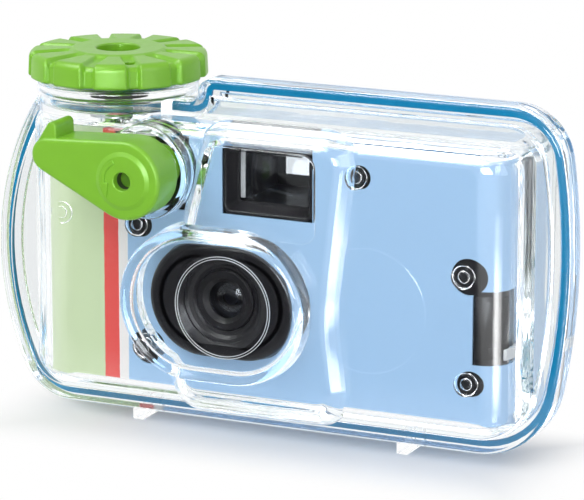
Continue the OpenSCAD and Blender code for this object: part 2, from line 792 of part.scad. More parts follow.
module rear_cover() {
    rib_t = 1.2;
    color([0.12, 0.12, 0.13]) union() {
        difference() {
            cam_prism(card_t, cover_z0, cover_z1);
            cam_prism(card_t + cover_t, room_z0, room_z1);
            span([-far, -far, -far], [far, split_y, far]);
            eyepiece_window(0);
            counter_window(0);
            post(wind_x, wind_y, shaft_r + 1.6, room_z1 - 1, far);
        }
        for (z = [film_z0 + 3, lens_z, film_z0 + film_w - 3])
            span([gate_x0, film_y0 + film_t + lay, z - rib_t / 2], [gate_x1, room_y1 + eps, z + rib_t / 2]);
    }
}

// Light tunnel that widens from the shutter to the picture gate
module light_tunnel() {
    hull() {
        span([lens_x - 3.5, shutter_y1 + 1.2, lens_z - 3.5], [lens_x + 3.5, shutter_y1 + 1.2 + eps, lens_z + 3.5]);
        span([gate_x0, body_y1 - 0.8, gate_z0], [gate_x1, body_y1 + 1, gate_z0 + gate_h]);
    }
}

module main_body() {
    chamber = cart_r + clear;
    blade_span = 14;
    color([0.16, 0.16, 0.17]) union() {
        difference() {
            intersection() {
                cam_prism(card_t + cover_t + lay, room_z0 + lay, room_z1 - lay);
                span([-far, -far, -far], [far, body_y1, far]);
            }
            post(wind_x, wind_y, chamber, 0, part_z0);
            post(wind_x, wind_y, shaft_r + 2.6, part_z0 - 1, far);
            post(wind_x, wind_y, wheel_r + 0.6, wheel_z0 - clear, far);
            span([wind_x + wheel_r - 3, wind_y - 2, wheel_z0 - clear], [pawl_x + 2.4, pawl_y + 3, far]);
            post(roll_x, roll_y, roll_r + 0.8, supply_z0, film_z0 + film_w + 2);
            light_tunnel();
            span([lens_x - board_w / 2 - lay, room_y0 - 1, lens_z - board_h / 2 - lay],
                [lens_x + board_w / 2 + lay, board_y1, lens_z + board_h / 2 + lay]);
            rod(lens_x, lens_z, blade_span, room_y0 - 1, shutter_y1);
            rod(lens_x, lens_z, light_r, room_y0 - 1, shutter_y1 + 2);
            finder_tunnel(0);
            span([finder_x0 - lay, -far, finder_z0 - lay], [finder_x1 + lay, room_y0 + 2.4, far]);
            arm_pocket(pocket_y1, lay);
            post(button_x, button_y, stem_r + fit, well_z0 - stem_h - 2, far);
            post(sprocket_x, sprocket_y, sprocket_r + 0.5, sprocket_z - sprocket_t / 2 - clear,
                sprocket_z + sprocket_t / 2 + clear);
            post(sprocket_x, sprocket_y, sprocket_pin + fit, sprocket_z - 6, far);
            post(disc_x, disc_y, disc_r + 0.5, room_z1 - clear - disc_t - clear, far);
            span([gate_x1 + 1.5, room_y0 + 1.2, supply_z0],
                [roll_x - roll_r - 2, sprocket_y - sprocket_r, gate_z0 + gate_h]);
            span([gate_x1 + 1.5, room_y0 - 1, supply_z0],
                [roll_x + roll_r, roll_y - roll_r - 2, gate_z0 + gate_h]);
        }
        intersection() {
            rod(blade_x, blade_z, blade_pin, board_y1 + lay, shutter_y1 + eps);
            rod(lens_x, lens_z, blade_span, room_y0, shutter_y1 + 1);
        }
        post(roll_x, roll_y, peg_r, supply_z0 - eps, supply_z0 + 4);
        post(disc_x, disc_y, peg_r, room_z1 - clear - disc_t - clear - eps, room_z1 - clear);
        post(pawl_x, pawl_y, pawl_pin, wheel_z0 - clear - eps, wheel_z0 + pawl_t);
    }
}

module lens_board() {
    color([0.1, 0.1, 0.11]) difference() {
        union() {
            span([lens_x - board_w / 2, board_y0, lens_z - board_h / 2], [lens_x + board_w / 2, board_y1,
                lens_z + board_h / 2]);
            rod(lens_x, lens_z, barrel_r, barrel_y0, board_y0 + eps);
        }
        rod(lens_x, lens_z, lens_r + fit, bezel_y0, board_y0 + 0.2);
        rod(lens_x, lens_z, light_r, bezel_y0, board_y1 + 1);
    }
}

// Meniscus that is thicker in the middle
module taking_lens() {
    front_y = barrel_y0 + 0.5;
    back_y = board_y0 + 0.2 - 0.4;
    bow = 9;
    rise = bow - sqrt(bow * bow - lens_r * lens_r);
    color([0.75, 0.85, 0.95, 0.5]) intersection() {
        rod(lens_x, lens_z, lens_r, front_y, back_y);
        translate([lens_x, front_y + bow, lens_z]) sphere(bow);
        translate([lens_x, back_y - bow - rise / 2, lens_z]) sphere(bow + rise / 2 + 4);
    }
}

module lens_retainer() {
    ring_y0 = barrel_y0 - 0.9;
    color([0.08, 0.08, 0.09]) translate([lens_x, 0, lens_z]) rotate([-90, 0, 0]) rotate_extrude()
        polygon([[barrel_r, barrel_y0], [barrel_r, ring_y0 + 0.3], [barrel_r - 0.3, ring_y0],
            [lens_r + 0.3, ring_y0], [lens_r - 0.7, barrel_y0]]);
}

module aperture_plate() {
    color("black") difference() {
        rod(lens_x, lens_z, lens_r, board_y0 + 0.2 - 0.35, board_y0 + 0.2);
        rod(lens_x, lens_z, stop_r, board_y0 - 2, board_y1);
    }
}

module shutter_blade() {
    cover_r = 3.6;
    color("dimgray") difference() {
        union() {
            rod(lens_x, lens_z, cover_r, blade_y0, blade_y0 + blade_t);
            rod(blade_x, blade_z, blade_pin + 1.3, blade_y0, blade_y0 + blade_t);
            slab(blade_y0, blade_y0 + blade_t) polygon([[lens_x, lens_z - 1.6], [lens_x, lens_z + 1.6],
                [blade_x, blade_z + 1.6], [blade_x, blade_z - 1.6]]);
        }
        rod(blade_x, blade_z, blade_pin + fit, blade_y0 - 1, blade_y0 + 2);
    }
}

module shutter_spring() {
    color("silver") difference() {
        rod(blade_x, blade_z, blade_pin + 0.8, blade_y0 + blade_t + lay, shutter_y1);
        rod(blade_x, blade_z, blade_pin + lay, blade_y0, shutter_y1 + 1);
    }
}

module shutter_button() {
    color([0.2, 0.2, 0.21]) union() {
        post(button_x, button_y, button_r, button_z1 - button_h, button_z1);
        post(button_x, button_y, stem_r, well_z0 - stem_h + button_travel, button_z1 - button_h + eps);
    }
}

module button_spring() {
    color("silver") difference() {
        post(button_x, button_y, button_r, well_z0 + eps, well_z0 + 0.4);
        post(button_x, button_y, stem_r + clear, well_z0 - 1, well_z0 + 2);
    }
}

module finder_front_lens() {
    glass_t = 2.2;
    bow = 26;
    middle = (finder_x0 + finder_x1) / 2;
    middle_z = (finder_z0 + room_z1) / 2;
    y0 = room_y0 + 2.6;
    color([0.75, 0.85, 0.95, 0.5]) difference() {
        span([finder_x0 + finder_wall + lay, y0, finder_z0 + finder_wall + lay],
            [finder_x1 - finder_wall - lay, y0 + glass_t, room_z1 - 1.2 - lay]);
        translate([middle, y0 + glass_t + bow - 1.4, middle_z]) sphere(bow, $fn = 256);
    }
}

module finder_rear_lens() {
    color([0.75, 0.85, 0.95, 0.5])
        span([eyepiece_x0 + lay, room_y1 - 0.2, eyepiece_z0 + lay],
            [eyepiece_x1 - lay, cam_y1 - card_t, eyepiece_z1 - lay]);
}

module film_cartridge() {
    tin = 0.5;
    color("darkslategray") difference() {
        post(wind_x, wind_y, cart_r, cart_z0, cart_z1);
        post(wind_x, wind_y, cart_r - tin, cart_z0 + tin, cart_z1 - tin);
        post(wind_x, wind_y, spool_neck + fit, cart_z0 - 1, cart_z1 + 1);
    }
}

module cartridge_spool() {
    color("black") union() {
        post(wind_x, wind_y, spool_r, cart_z0 + 1, cart_z1 - 1);
        post(wind_x, wind_y, spool_neck, cart_z0 + fit, wheel_z0);
    }
}

module film_strip() {
    reach = cart_r + 0.2;
    drop = film_y0 - wind_y;
    start = wind_x + sqrt(reach * reach - drop * drop);
    color("saddlebrown") span([start, film_y0, film_z0], [roll_x, film_y0 + film_t, film_z0 + film_w]);
}

module film_roll() {
    color("saddlebrown") difference() {
        post(roll_x, roll_y, roll_r, film_z0, film_z0 + film_w);
        post(roll_x, roll_y, core_r, film_z0 - 1, film_z0 + film_w + 1);
    }
}

module supply_spool() {
    color("dimgray") difference() {
        post(roll_x, roll_y, core_r, supply_z0 + lay, film_z0 + film_w + 1.6);
        post(roll_x, roll_y, peg_r + fit, supply_z0 - 1, supply_z0 + 4.4);
    }
}

module sprocket_wheel() {
    teeth = 6;
    tooth = 1.1;
    color("whitesmoke") union() {
        post(sprocket_x, sprocket_y, sprocket_r - tooth, sprocket_z - sprocket_t / 2, sprocket_z + sprocket_t / 2);
        post(sprocket_x, sprocket_y, sprocket_pin, sprocket_z - 5, room_z1 - clear);
        for (i = [0 : teeth - 1]) translate([sprocket_x, sprocket_y, sprocket_z]) rotate(i * 360 / teeth)
            span([sprocket_r - 2 * tooth, -0.6, -0.6], [sprocket_r - lay, 0.6, 0.6]);
    }
}

module counter_disc() {
    z0 = room_z1 - clear - disc_t;
    color("white") difference() {
        post(disc_x, disc_y, disc_r, z0, z0 + disc_t);
        post(disc_x, disc_y, peg_r + fit, z0 - 1, z0 + 2);
        for (i = [0 : 3]) translate([disc_x, disc_y, 0]) rotate(45 + i * 90) post(4, 0, 1.1, z0 - 1, z0 + 2);
    }
}

module wind_wheel() {
    color([0.2, 0.2, 0.21]) difference() {
        post(wind_x, wind_y, wheel_r, wheel_z0, wheel_z1);
        post(wind_x, wind_y, shaft_r, wheel_z0 + wheel_t / 2, wheel_z1 + 1);
        for (i = [0 : wheel_teeth - 1]) translate([wind_x, wind_y, 0]) rotate(i * 360 / wheel_teeth)
            post(wheel_r + 0.15, 0, 0.5, wheel_z0 - 1, wheel_z1 + 1);
    }
}

module wind_pawl() {
    hub = pawl_pin + 0.8;
    tip = 0.35;
    tip_y = wind_y - 0.5;
    color("whitesmoke") difference() {
        union() {
            post(pawl_x, pawl_y, hub, wheel_z0, wheel_z0 + pawl_t);
            translate([0, 0, wheel_z0]) linear_extrude(pawl_t) polygon([[pawl_x - hub * 0.7, pawl_y - hub * 0.7],
                [pawl_x + hub * 0.8, pawl_y - hub * 0.5], [wind_x + wheel_r + clear + 2 * tip, tip_y],
                [wind_x + wheel_r + clear, tip_y + tip]]);
        }
        post(pawl_x, pawl_y, pawl_pin + fit, wheel_z0 - 1, wheel_z0 + 2);
    }
}

front_shell();
rear_shell();
shell_gasket();
wind_knob();
knob_screw();
wind_shaft();
shaft_seal();
shaft_clip();
shutter_lever();
lever_shaft();
lever_seal();
lever_spring();
release_arm();
arm_screw();
card_wrap();
front_cover();
rear_cover();
main_body();
lens_board();
taking_lens();
lens_retainer();
aperture_plate();
shutter_blade();
shutter_spring();
shutter_button();
button_spring();
finder_front_lens();
finder_rear_lens();
film_cartridge();
cartridge_spool();
film_strip();
film_roll();
supply_spool();
sprocket_wheel();
counter_disc();
wind_wheel();
wind_pawl();
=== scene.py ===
import json
import math

import bmesh
import bpy
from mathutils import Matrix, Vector


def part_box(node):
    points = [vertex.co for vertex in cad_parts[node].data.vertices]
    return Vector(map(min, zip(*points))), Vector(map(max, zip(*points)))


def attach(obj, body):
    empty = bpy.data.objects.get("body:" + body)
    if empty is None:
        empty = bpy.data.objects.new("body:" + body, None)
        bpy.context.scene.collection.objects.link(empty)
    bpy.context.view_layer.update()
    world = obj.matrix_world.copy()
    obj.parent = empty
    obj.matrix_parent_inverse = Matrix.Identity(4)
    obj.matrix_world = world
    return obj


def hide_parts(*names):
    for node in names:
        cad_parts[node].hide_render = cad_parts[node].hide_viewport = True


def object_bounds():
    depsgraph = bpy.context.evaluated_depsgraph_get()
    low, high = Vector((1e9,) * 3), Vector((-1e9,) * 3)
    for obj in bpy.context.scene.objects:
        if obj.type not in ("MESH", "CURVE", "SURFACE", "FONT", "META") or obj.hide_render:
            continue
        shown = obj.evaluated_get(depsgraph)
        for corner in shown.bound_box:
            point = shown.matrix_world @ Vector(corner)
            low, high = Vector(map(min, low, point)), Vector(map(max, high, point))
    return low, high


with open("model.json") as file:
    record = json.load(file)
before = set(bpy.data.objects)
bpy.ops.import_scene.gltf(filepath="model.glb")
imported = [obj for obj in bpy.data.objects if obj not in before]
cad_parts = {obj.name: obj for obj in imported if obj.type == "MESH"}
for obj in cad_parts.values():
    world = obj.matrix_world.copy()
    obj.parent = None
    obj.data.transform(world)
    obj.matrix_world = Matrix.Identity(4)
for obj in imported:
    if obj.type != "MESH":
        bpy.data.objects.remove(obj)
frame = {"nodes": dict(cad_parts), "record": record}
cadBox = [list(corner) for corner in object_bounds()]
nodes = frame["nodes"]
mm = 0.001  # shapes below are written in millimetres


def spanOf(node):
    low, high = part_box(node)
    return Vector(low) / mm, Vector(high) / mm


def middleOf(node):
    low, high = spanOf(node)
    return (low + high) / 2


# places that the solids give
camLow, camHigh = spanOf("card_wrap")
camMid = (camLow + camHigh) / 2
shellLow, shellHigh = spanOf("rear_shell")
seamY = spanOf("shell_gasket")[0].y
lensAt = middleOf("taking_lens")
knobAt = middleOf("wind_shaft")
knobLow, knobHigh = spanOf("wind_knob")
leverAt = middleOf("lever_shaft")
leverLow, leverHigh = spanOf("shutter_lever")
frontLow, frontHigh = spanOf("front_shell")


# node trees, with maths written on their sockets
class Sock:
    def __init__(self, tree, socket):
        self.tree = tree
        self.socket = socket

    def beside(self, name):
        return Sock(self.tree, self.socket.node.outputs[name])  # another output of the same node

    def maths(self, operation, *others):
        return self.tree.add("ShaderNodeMath", {"operation": operation}, [self, *others])

    def fade(self, low, high, first, last):
        smooth = {"interpolation_type": "SMOOTHSTEP"}
        return self.tree.add("ShaderNodeMapRange", smooth, [self, low, high, first, last])

    def biggest(self, other):
        return self.maths("MAXIMUM", other)

    def __add__(self, other):
        return self.maths("ADD", other)

    def __sub__(self, other):
        return self.maths("SUBTRACT", other)

    def __rsub__(self, other):
        return self.tree.add("ShaderNodeMath", {"operation": "SUBTRACT"}, [other, self])

    def __mul__(self, other):
        return self.maths("MULTIPLY", other)

    def __gt__(self, other):
        return self.maths("GREATER_THAN", other)

    def __lt__(self, other):
        return self.maths("LESS_THAN", other)

    def __abs__(self):
        return self.maths("ABSOLUTE")

    __radd__ = __add__
    __rmul__ = __mul__


class NodeTree:
    def __init__(self, tree):
        self.tree = tree
        self.tree.nodes.clear()

    def add(self, kind, settings, inputs, output=0):
        node = self.tree.nodes.new(kind)
        for key, value in settings.items():
            setattr(node, key, value)
        pairs = inputs.items() if isinstance(inputs, dict) else enumerate(inputs)
        for key, value in pairs:
            if isinstance(value, Sock):
                self.tree.links.new(value.socket, node.inputs[key])
            else:
                node.inputs[key].default_value = value
        return Sock(self, node.outputs[output] if len(node.outputs) else None)

    def axesOf(self, vector):
        split = self.add("ShaderNodeSeparateXYZ", {}, [vector])
        return [split.beside(axis) for axis in "XYZ"]


class Paint(NodeTree):
    def __init__(self, name):
        self.material = bpy.data.materials.new(name)
        self.material.use_nodes = True
        super().__init__(self.material.node_tree)

    def place(self):
        return self.add("ShaderNodeTexCoord", {}, {}, "Object")

    def noise(self, scale, detail=2, rough=0.5):
        return self.add("ShaderNodeTexNoise", {}, {"Vector": self.place(), "Scale": scale, "Detail": detail,
                                                   "Roughness": rough})

    def bump(self, height, strength, distance):
        return self.add("ShaderNodeBump", {}, {"Strength": strength, "Distance": distance, "Height": height})

    def principled(self, **inputs):
        named = {key.replace("_", " "): value for key, value in inputs.items()}
        return self.add("ShaderNodeBsdfPrincipled", {}, named)

    def mixed(self, mask, first, second):
        return self.add("ShaderNodeMixShader", {}, [mask, first, second])

    def surface(self, shader):
        self.add("ShaderNodeOutputMaterial", {}, {"Surface": shader})
        return self.material


def blend(mask, first, second):
    return mask.tree.add("ShaderNodeMix", {"data_type": "RGBA"}, {0: mask, 6: first, 7: second}, 2)


def rgb(red, green, blue):
    return (red, green, blue, 1)


def dim(colour, factor):
    return (*[channel * factor for channel in colour[:3]], 1)


# finishes
acrylicIor = 1.49


def clearPlastic(name, tint, rough, wave):
    paint = Paint(name)
    shadow = paint.add("ShaderNodeLightPath", {}, {}, "Is Shadow Ray")
    straight = shadow.biggest(shadow.beside("Is Diffuse Ray"))  # shadows and soft light go straight through
    normal = paint.bump(paint.noise(90, 1), wave, 0.002)
    body = paint.principled(Base_Color=tint, Roughness=rough, IOR=acrylicIor, Transmission_Weight=1.0,
                            Normal=normal)
    through = paint.add("ShaderNodeBsdfTransparent", {}, {"Color": dim(tint, 0.99)})
    return paint.surface(paint.mixed(straight, body, through))


def milkyPlastic(name, colour):
    paint = Paint(name)
    cloud = paint.noise(300, 3)
    shade = blend(cloud, dim(colour, 0.94), colour)
    return paint.surface(paint.principled(Base_Color=shade, Roughness=cloud * 0.2 + 0.25, IOR=acrylicIor,
                                          Transmission_Weight=0.25))


def mouldedPlastic(name, colour, rough, grain, coat=0.0, shine=0.5):
    paint = Paint(name)
    shade = blend(paint.noise(160, 3), dim(colour, 0.93), dim(colour, 1.07))
    matt = paint.noise(700, 2) * 0.12 + (rough - 0.06)
    normal = paint.bump(paint.noise(5200, 2), grain, 0.0001)
    return paint.surface(paint.principled(Base_Color=shade, Roughness=matt, Normal=normal, Coat_Weight=coat,
                                          Specular_IOR_Level=shine))


def printedCard(name, bands):
    paint = Paint(name)
    x = paint.axesOf(paint.place())[0] + paint.noise(420, 2) * 0.0002
    colour = bands[0][1]
    for start, shade in bands[1:]:
        colour = blend(x > (camMid.x + start) * mm, colour, shade)
    fibre = paint.noise(2600, 4, 0.7)
    colour = blend(fibre * 0.10, colour, rgb(0.85, 0.9, 0.97))
    normal = paint.bump(fibre, 0.05, 0.0002)
    return paint.surface(paint.principled(Base_Color=colour, Roughness=0.32 + fibre * 0.12, Normal=normal))


def bareMetal(name, colour, rough):
    paint = Paint(name)
    streak = paint.noise(900, 4, 0.6)
    shade = blend(streak, dim(colour, 0.85), colour)
    normal = paint.bump(streak, 0.08, 0.0001)
    return paint.surface(paint.principled(Base_Color=shade, Metallic=1.0, Normal=normal,
                                          Roughness=streak * 0.15 + (rough - 0.07)))


def softRubber(name, colour, rough, shine=0.5):
    paint = Paint(name)
    dust = paint.noise(1400, 3)
    shade = blend(dust, dim(colour, 0.9), dim(colour, 1.08))
    normal = paint.bump(dust, 0.1, 0.0001)
    return paint.surface(paint.principled(Base_Color=shade, Roughness=dust * 0.15 + (rough - 0.07),
                                          Normal=normal, Specular_IOR_Level=shine))


def opticGlass(name, tint):
    paint = Paint(name)
    shadow = paint.add("ShaderNodeLightPath", {}, {}, "Is Shadow Ray")
    body = paint.principled(Base_Color=tint, Roughness=paint.noise(60, 1) * 0.02, IOR=acrylicIor,
                            Transmission_Weight=1.0)
    through = paint.add("ShaderNodeBsdfTransparent", {}, {"Color": tint})
    return paint.surface(paint.mixed(shadow, body, through))


cardBands = [  # where each colour starts, from the camera's middle
    (-60.0, rgb(0.64, 0.76, 0.45)), (-35.35, rgb(0.86, 0.05, 0.035)),
    (-31.95, rgb(0.96, 0.90, 0.88)), (-29.75, rgb(0.37, 0.59, 0.87)),
]
finishes = {
    "clear_shell": clearPlastic("clearShell", rgb(0.975, 0.99, 0.995), 0.015, 0.05),
    "gasket_blue": softRubber("gasketBlue", rgb(0.001, 0.24, 0.47), 0.4, 0.15),
    "green_plastic": mouldedPlastic("greenPlastic", rgb(0.19, 0.47, 0.02), 0.36, 0.06),
    "bright_steel": bareMetal("brightSteel", rgb(0.68, 0.69, 0.71), 0.3),
    "dark_steel": bareMetal("darkSteel", rgb(0.2, 0.2, 0.22), 0.38),
    "black_rubber": softRubber("blackRubber", rgb(0.015, 0.015, 0.016), 0.6),
    "printed_card": printedCard("printedCard", cardBands),
    "black_plastic": mouldedPlastic("blackPlastic", rgb(0.011, 0.0105, 0.0125), 0.34, 0.1, shine=0.32),
    "clear_lens": opticGlass("clearLens", rgb(0.96, 0.98, 1.0)),
    "painted_tin": mouldedPlastic("paintedTin", rgb(0.04, 0.06, 0.07), 0.25, 0.03, 0.3),
    "film_base": mouldedPlastic("filmBase", rgb(0.09, 0.03, 0.012), 0.2, 0.02, 0.2),
    "grey_plastic": mouldedPlastic("greyPlastic", rgb(0.13, 0.13, 0.14), 0.45, 0.1),
    "white_plastic": mouldedPlastic("whitePlastic", rgb(0.78, 0.78, 0.75), 0.4, 0.08),
}
for part in frame["record"]["subparts"]:
    slots = nodes[part["node"]].data.materials
    slots.clear()
    slots.append(finishes[part["material_slot"]])
# painted shade: the taking lens glass is tinted dark grey-blue so that the lens reads as dark as the shaded
# camera behind it
nodes["taking_lens"].data.materials[0] = opticGlass("takingLens", rgb(0.36, 0.38, 0.44))
print("finishes:", len(finishes))


# shape helpers
def filletPath(corners, closed=False, steps=5, hold=0.35):
    path = []
    count = len(corners)
    for i, (u, v, r) in enumerate(corners):
        here = Vector((u, v))
        if r == 0 or (not closed and i in (0, count - 1)):
            path.append(here)
            continue
        before = Vector(corners[i - 1][:2]) - here
        after = Vector(corners[(i + 1) % count][:2]) - here
        half = before.angle(after) / 2
        cut = min(r / math.tan(half), before.length * 0.48, after.length * 0.48)
        start = here + before.normalized() * cut
        end = here + after.normalized() * cut
        if before.length - cut > 3 * hold:
            path.append(start + before.normalized() * hold)  # keeps the flat beside a round edge flat
        weight = math.sin(half)
        for k in range(steps + 1):
            t = k / steps
            a, b, c = (1 - t) ** 2, 2 * t * (1 - t) * weight, t * t
            path.append((start * a + here * b + end * c) / (a + b + c))
        if after.length - cut > 3 * hold:
            path.append(end + after.normalized() * hold)
    return path


def arcOf(x, z, r, start, end, steps):
    turns = [math.radians(start + (end - start) * k / steps) for k in range(steps + 1)]
    return [(x + r * math.cos(turn), z + r * math.sin(turn)) for turn in turns]


def roundRect(x0, z0, x1, z1, r, steps=8):
    corners = [(x1 - r, z0 + r, -90), (x1 - r, z1 - r, 0), (x0 + r, z1 - r, 90), (x0 + r, z0 + r, 180)]
    return [point for x, z, turn in corners for point in arcOf(x, z, r, turn, turn + 90, steps)]


def stadium(x, z, r, half, count):
    ring = []
    for k in range(count):
        turn = 2 * math.pi * k / count
        c, s = math.cos(turn), math.sin(turn)
        reach = r / abs(s) if abs(s) > 1e-9 else 1e9
        if reach * abs(c) > half:
            reach = half * abs(c) + math.sqrt(max(r * r - half * half * s * s, 0))
        ring.append((x + reach * c, z + reach * s))
    return ring


def twoCircles(a, ra, b, rb, count):
    axis = Vector(b) - Vector(a)
    base = math.degrees(math.atan2(axis.y, axis.x))
    lean = math.degrees(math.acos((ra - rb) / axis.length))
    big = arcOf(a[0], a[1], ra, base + lean, base + 360 - lean, count)
    small = arcOf(b[0], b[1], rb, base - lean, base + lean, count // 2)
    down = [Vector(big[-1]).lerp(Vector(small[0]), k / 16) for k in range(1, 16)]
    up = [Vector(small[-1]).lerp(Vector(big[0]), k / 16) for k in range(1, 16)]
    return [tuple(point) for point in big + down + small + up]


class Shape:
    def __init__(self):
        self.verts = []
        self.faces = []

    def loft(self, rings, loop=False, caps=True):
        start = len(self.verts)
        count = len(rings[0])
        for ring in rings:
            self.verts.extend(ring)
        rows = len(rings) if loop else len(rings) - 1
        for row in range(rows):
            a = start + row * count
            b = start + (row + 1) % len(rings) * count
            for k in range(count):
                n = (k + 1) % count
                self.faces.append((a + k, a + n, b + n, b + k))
        if caps and not loop:
            self.faces.append(tuple(range(start, start + count)))
            last = start + (len(rings) - 1) * count
            self.faces.append(tuple(range(last, last + count)))

    def lathe(self, path, centre, axis, count=72, loop=True):
        rings = []
        for r, h in path:
            ring = []
            for k in range(count):
                turn = 2 * math.pi * k / count
                a, b = r * math.cos(turn), r * math.sin(turn)
                if axis == "Y":
                    ring.append((centre.x + a, h, centre.z + b))
                else:
                    ring.append((centre.x + a, centre.y + b, h))
            rings.append(ring)
        self.loft(rings, loop)

    def box(self, low, high, edge):
        block = bmesh.new()
        bmesh.ops.create_cube(block, size=1)
        for vert in block.verts:
            vert.co = Vector([l + (h - l) * (c + 0.5) for l, h, c in zip(low, high, vert.co)])
        bmesh.ops.bevel(block, geom=block.edges, offset=edge, segments=3, affect="EDGES", profile=0.5)
        self.join(block)

    def join(self, block):
        start = len(self.verts)
        block.verts.ensure_lookup_table()
        block.verts.index_update()
        self.verts.extend(tuple(vert.co) for vert in block.verts)
        self.faces.extend(tuple(start + vert.index for vert in face.verts) for face in block.faces)
        block.free()


def newObject(name, data):
    item = bpy.data.objects.new(name, data)
    bpy.context.scene.collection.objects.link(item)
    return item


def settle(block, mesh, sharp=38):
    for face in block.faces:
        face.smooth = True
    block.to_mesh(mesh)
    block.free()
    mesh.set_sharp_from_angle(angle=math.radians(sharp))
    return mesh


def closeSeams(block):
    bmesh.ops.remove_doubles(block, verts=block.verts, dist=1e-7)
    bmesh.ops.recalc_face_normals(block, faces=block.faces)


def meshOf(name, shape):
    block = bmesh.new()
    points = [block.verts.new(Vector(vert) * mm) for vert in shape.verts]
    for face in shape.faces:
        block.faces.new([points[k] for k in face])
    closeSeams(block)
    return settle(block, bpy.data.meshes.new(name))


# mesh that an object's modifiers make
def shaped(name, mesh, change):
    item = newObject(name, mesh)
    change(item.modifiers)
    bpy.context.view_layer.update()
    made = bpy.data.meshes.new_from_object(item.evaluated_get(bpy.context.evaluated_depsgraph_get()))
    made.name = name
    item.modifiers.clear()
    bpy.data.objects.remove(item)
    return made


def evenNormals(modifiers):
    modifiers.new("evenNormals", "WEIGHTED_NORMAL").keep_sharp = True


def addBoolean(modifiers, operation, tool, solver):
    step = modifiers.new(operation, "BOOLEAN")
    step.operation = operation
    step.object = tool
    step.solver = solver


# joins the solids of a piece, cuts its rooms and adds what stands in them
def carve(name, body, adds, cuts, later):
    steps = [("UNION", add) for add in adds] + [("DIFFERENCE", cut) for cut in cuts]
    steps += [("UNION", add) for add in later]
    tools = [newObject(name + "Tool", meshOf(name + "Tool", shape)) for _, shape in steps]

    def join(modifiers):
        for (operation, _), tool in zip(steps, tools):
            addBoolean(modifiers, operation, tool, "MANIFOLD")

    mesh = shaped(name, meshOf(name, body), join)
    for tool in tools:
        bpy.data.objects.remove(tool)
    block = bmesh.new()
    block.from_mesh(mesh)
    bmesh.ops.remove_doubles(block, verts=block.verts, dist=2e-6)
    bmesh.ops.dissolve_degenerate(block, edges=block.edges, dist=1e-6)
    return shaped(name, settle(block, mesh, caseLook["sharp"]), evenNormals)


def cutFrom(name, mesh, toolMesh, sharp=38):
    tool = newObject(name + "Tool", toolMesh)
    made = shaped(name, mesh, lambda modifiers: addBoolean(modifiers, "DIFFERENCE", tool, "EXACT"))
    bpy.data.objects.remove(tool)
    made.set_sharp_from_angle(angle=math.radians(sharp))
    return made


def addPiece(name, mesh, slot, body, replaced=()):
    piece = newObject(name, mesh)
    mesh.materials.clear()
    mesh.materials.append(finishes[slot])
    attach(piece, body)
    if replaced:
        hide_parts(*replaced)


def ringAt(outline, y):
    return [(x, y, z) for x, z in outline]


# geometry node trees
def geometryTree(name, inputs):
    tree = bpy.data.node_groups.new(name, "GeometryNodeTree")
    tree.interface.new_socket("Geometry", in_out="INPUT", socket_type="NodeSocketGeometry")
    for label, kind in inputs.items():
        tree.interface.new_socket(label, in_out="INPUT", socket_type="NodeSocket" + kind)
    tree.interface.new_socket("Geometry", in_out="OUTPUT", socket_type="NodeSocketGeometry")
    grown = NodeTree(tree)
    given = grown.add("NodeGroupInput", {}, [])
    return grown, {label: given.beside(label) for label in ("Geometry", *inputs)}


def endTree(grown, geometry, finish):
    painted = grown.add("GeometryNodeSetMaterial", {}, {"Geometry": geometry, "Material": finish})
    grown.add("NodeGroupOutput", {}, [painted])
    return grown.tree


# turns copies of one sector round an upright axis
def turnedArray():
    grown, given = geometryTree("turnedArray", {"Count": "Int", "Centre": "Vector", "Merge": "Float",
                                                "Finish": "Material"})
    points = grown.add("GeometryNodePoints", {}, {"Count": given["Count"], "Position": given["Centre"]})
    turn = grown.add("GeometryNodeInputIndex", {}, []).maths("DIVIDE", given["Count"]) * (2 * math.pi)
    spin = grown.add("ShaderNodeCombineXYZ", {}, {"Z": turn})
    back = grown.add("ShaderNodeVectorMath", {"operation": "SCALE"}, {0: given["Centre"], "Scale": -1})
    moved = grown.add("GeometryNodeTransform", {}, {"Geometry": given["Geometry"], "Translation": back})
    copies = grown.add("GeometryNodeInstanceOnPoints", {}, {"Points": points, "Instance": moved,
                                                            "Rotation": spin})
    real = grown.add("GeometryNodeRealizeInstances", {}, [copies])
    weld = grown.add("GeometryNodeMergeByDistance", {}, {"Geometry": real, "Distance": given["Merge"]})
    return endTree(grown, weld, given["Finish"])


def coilTree():
    grown, given = geometryTree("coilSpring", {"Turns": "Float", "Radius": "Float", "Height": "Float",
                                               "Wire": "Float", "Finish": "Material"})
    spiral = grown.add("GeometryNodeCurveSpiral", {}, {
        "Resolution": 28, "Rotations": given["Turns"], "Start Radius": given["Radius"],
        "End Radius": given["Radius"], "Height": given["Height"]})
    wire = grown.add("GeometryNodeCurvePrimitiveCircle", {}, {"Resolution": 10, "Radius": given["Wire"]})
    swept = grown.add("GeometryNodeCurveToMesh", {}, {"Curve": spiral, "Profile Curve": wire,
                                                      "Fill Caps": True})
    real = grown.add("GeometryNodeRealizeInstances", {}, [swept])
    return endTree(grown, real, given["Finish"])


def runTree(name, mesh, tree, values):
    keys = {item.name: item.identifier for item in tree.interface.items_tree if item.in_out == "INPUT"}

    def grow(modifiers):
        step = modifiers.new(name, "NODES")
        step.node_group = tree
        for label, value in values.items():
            step[keys[label]] = value

    made = shaped(name, mesh, grow)
    block = bmesh.new()
    block.from_mesh(made)
    closeSeams(block)
    return settle(block, made)


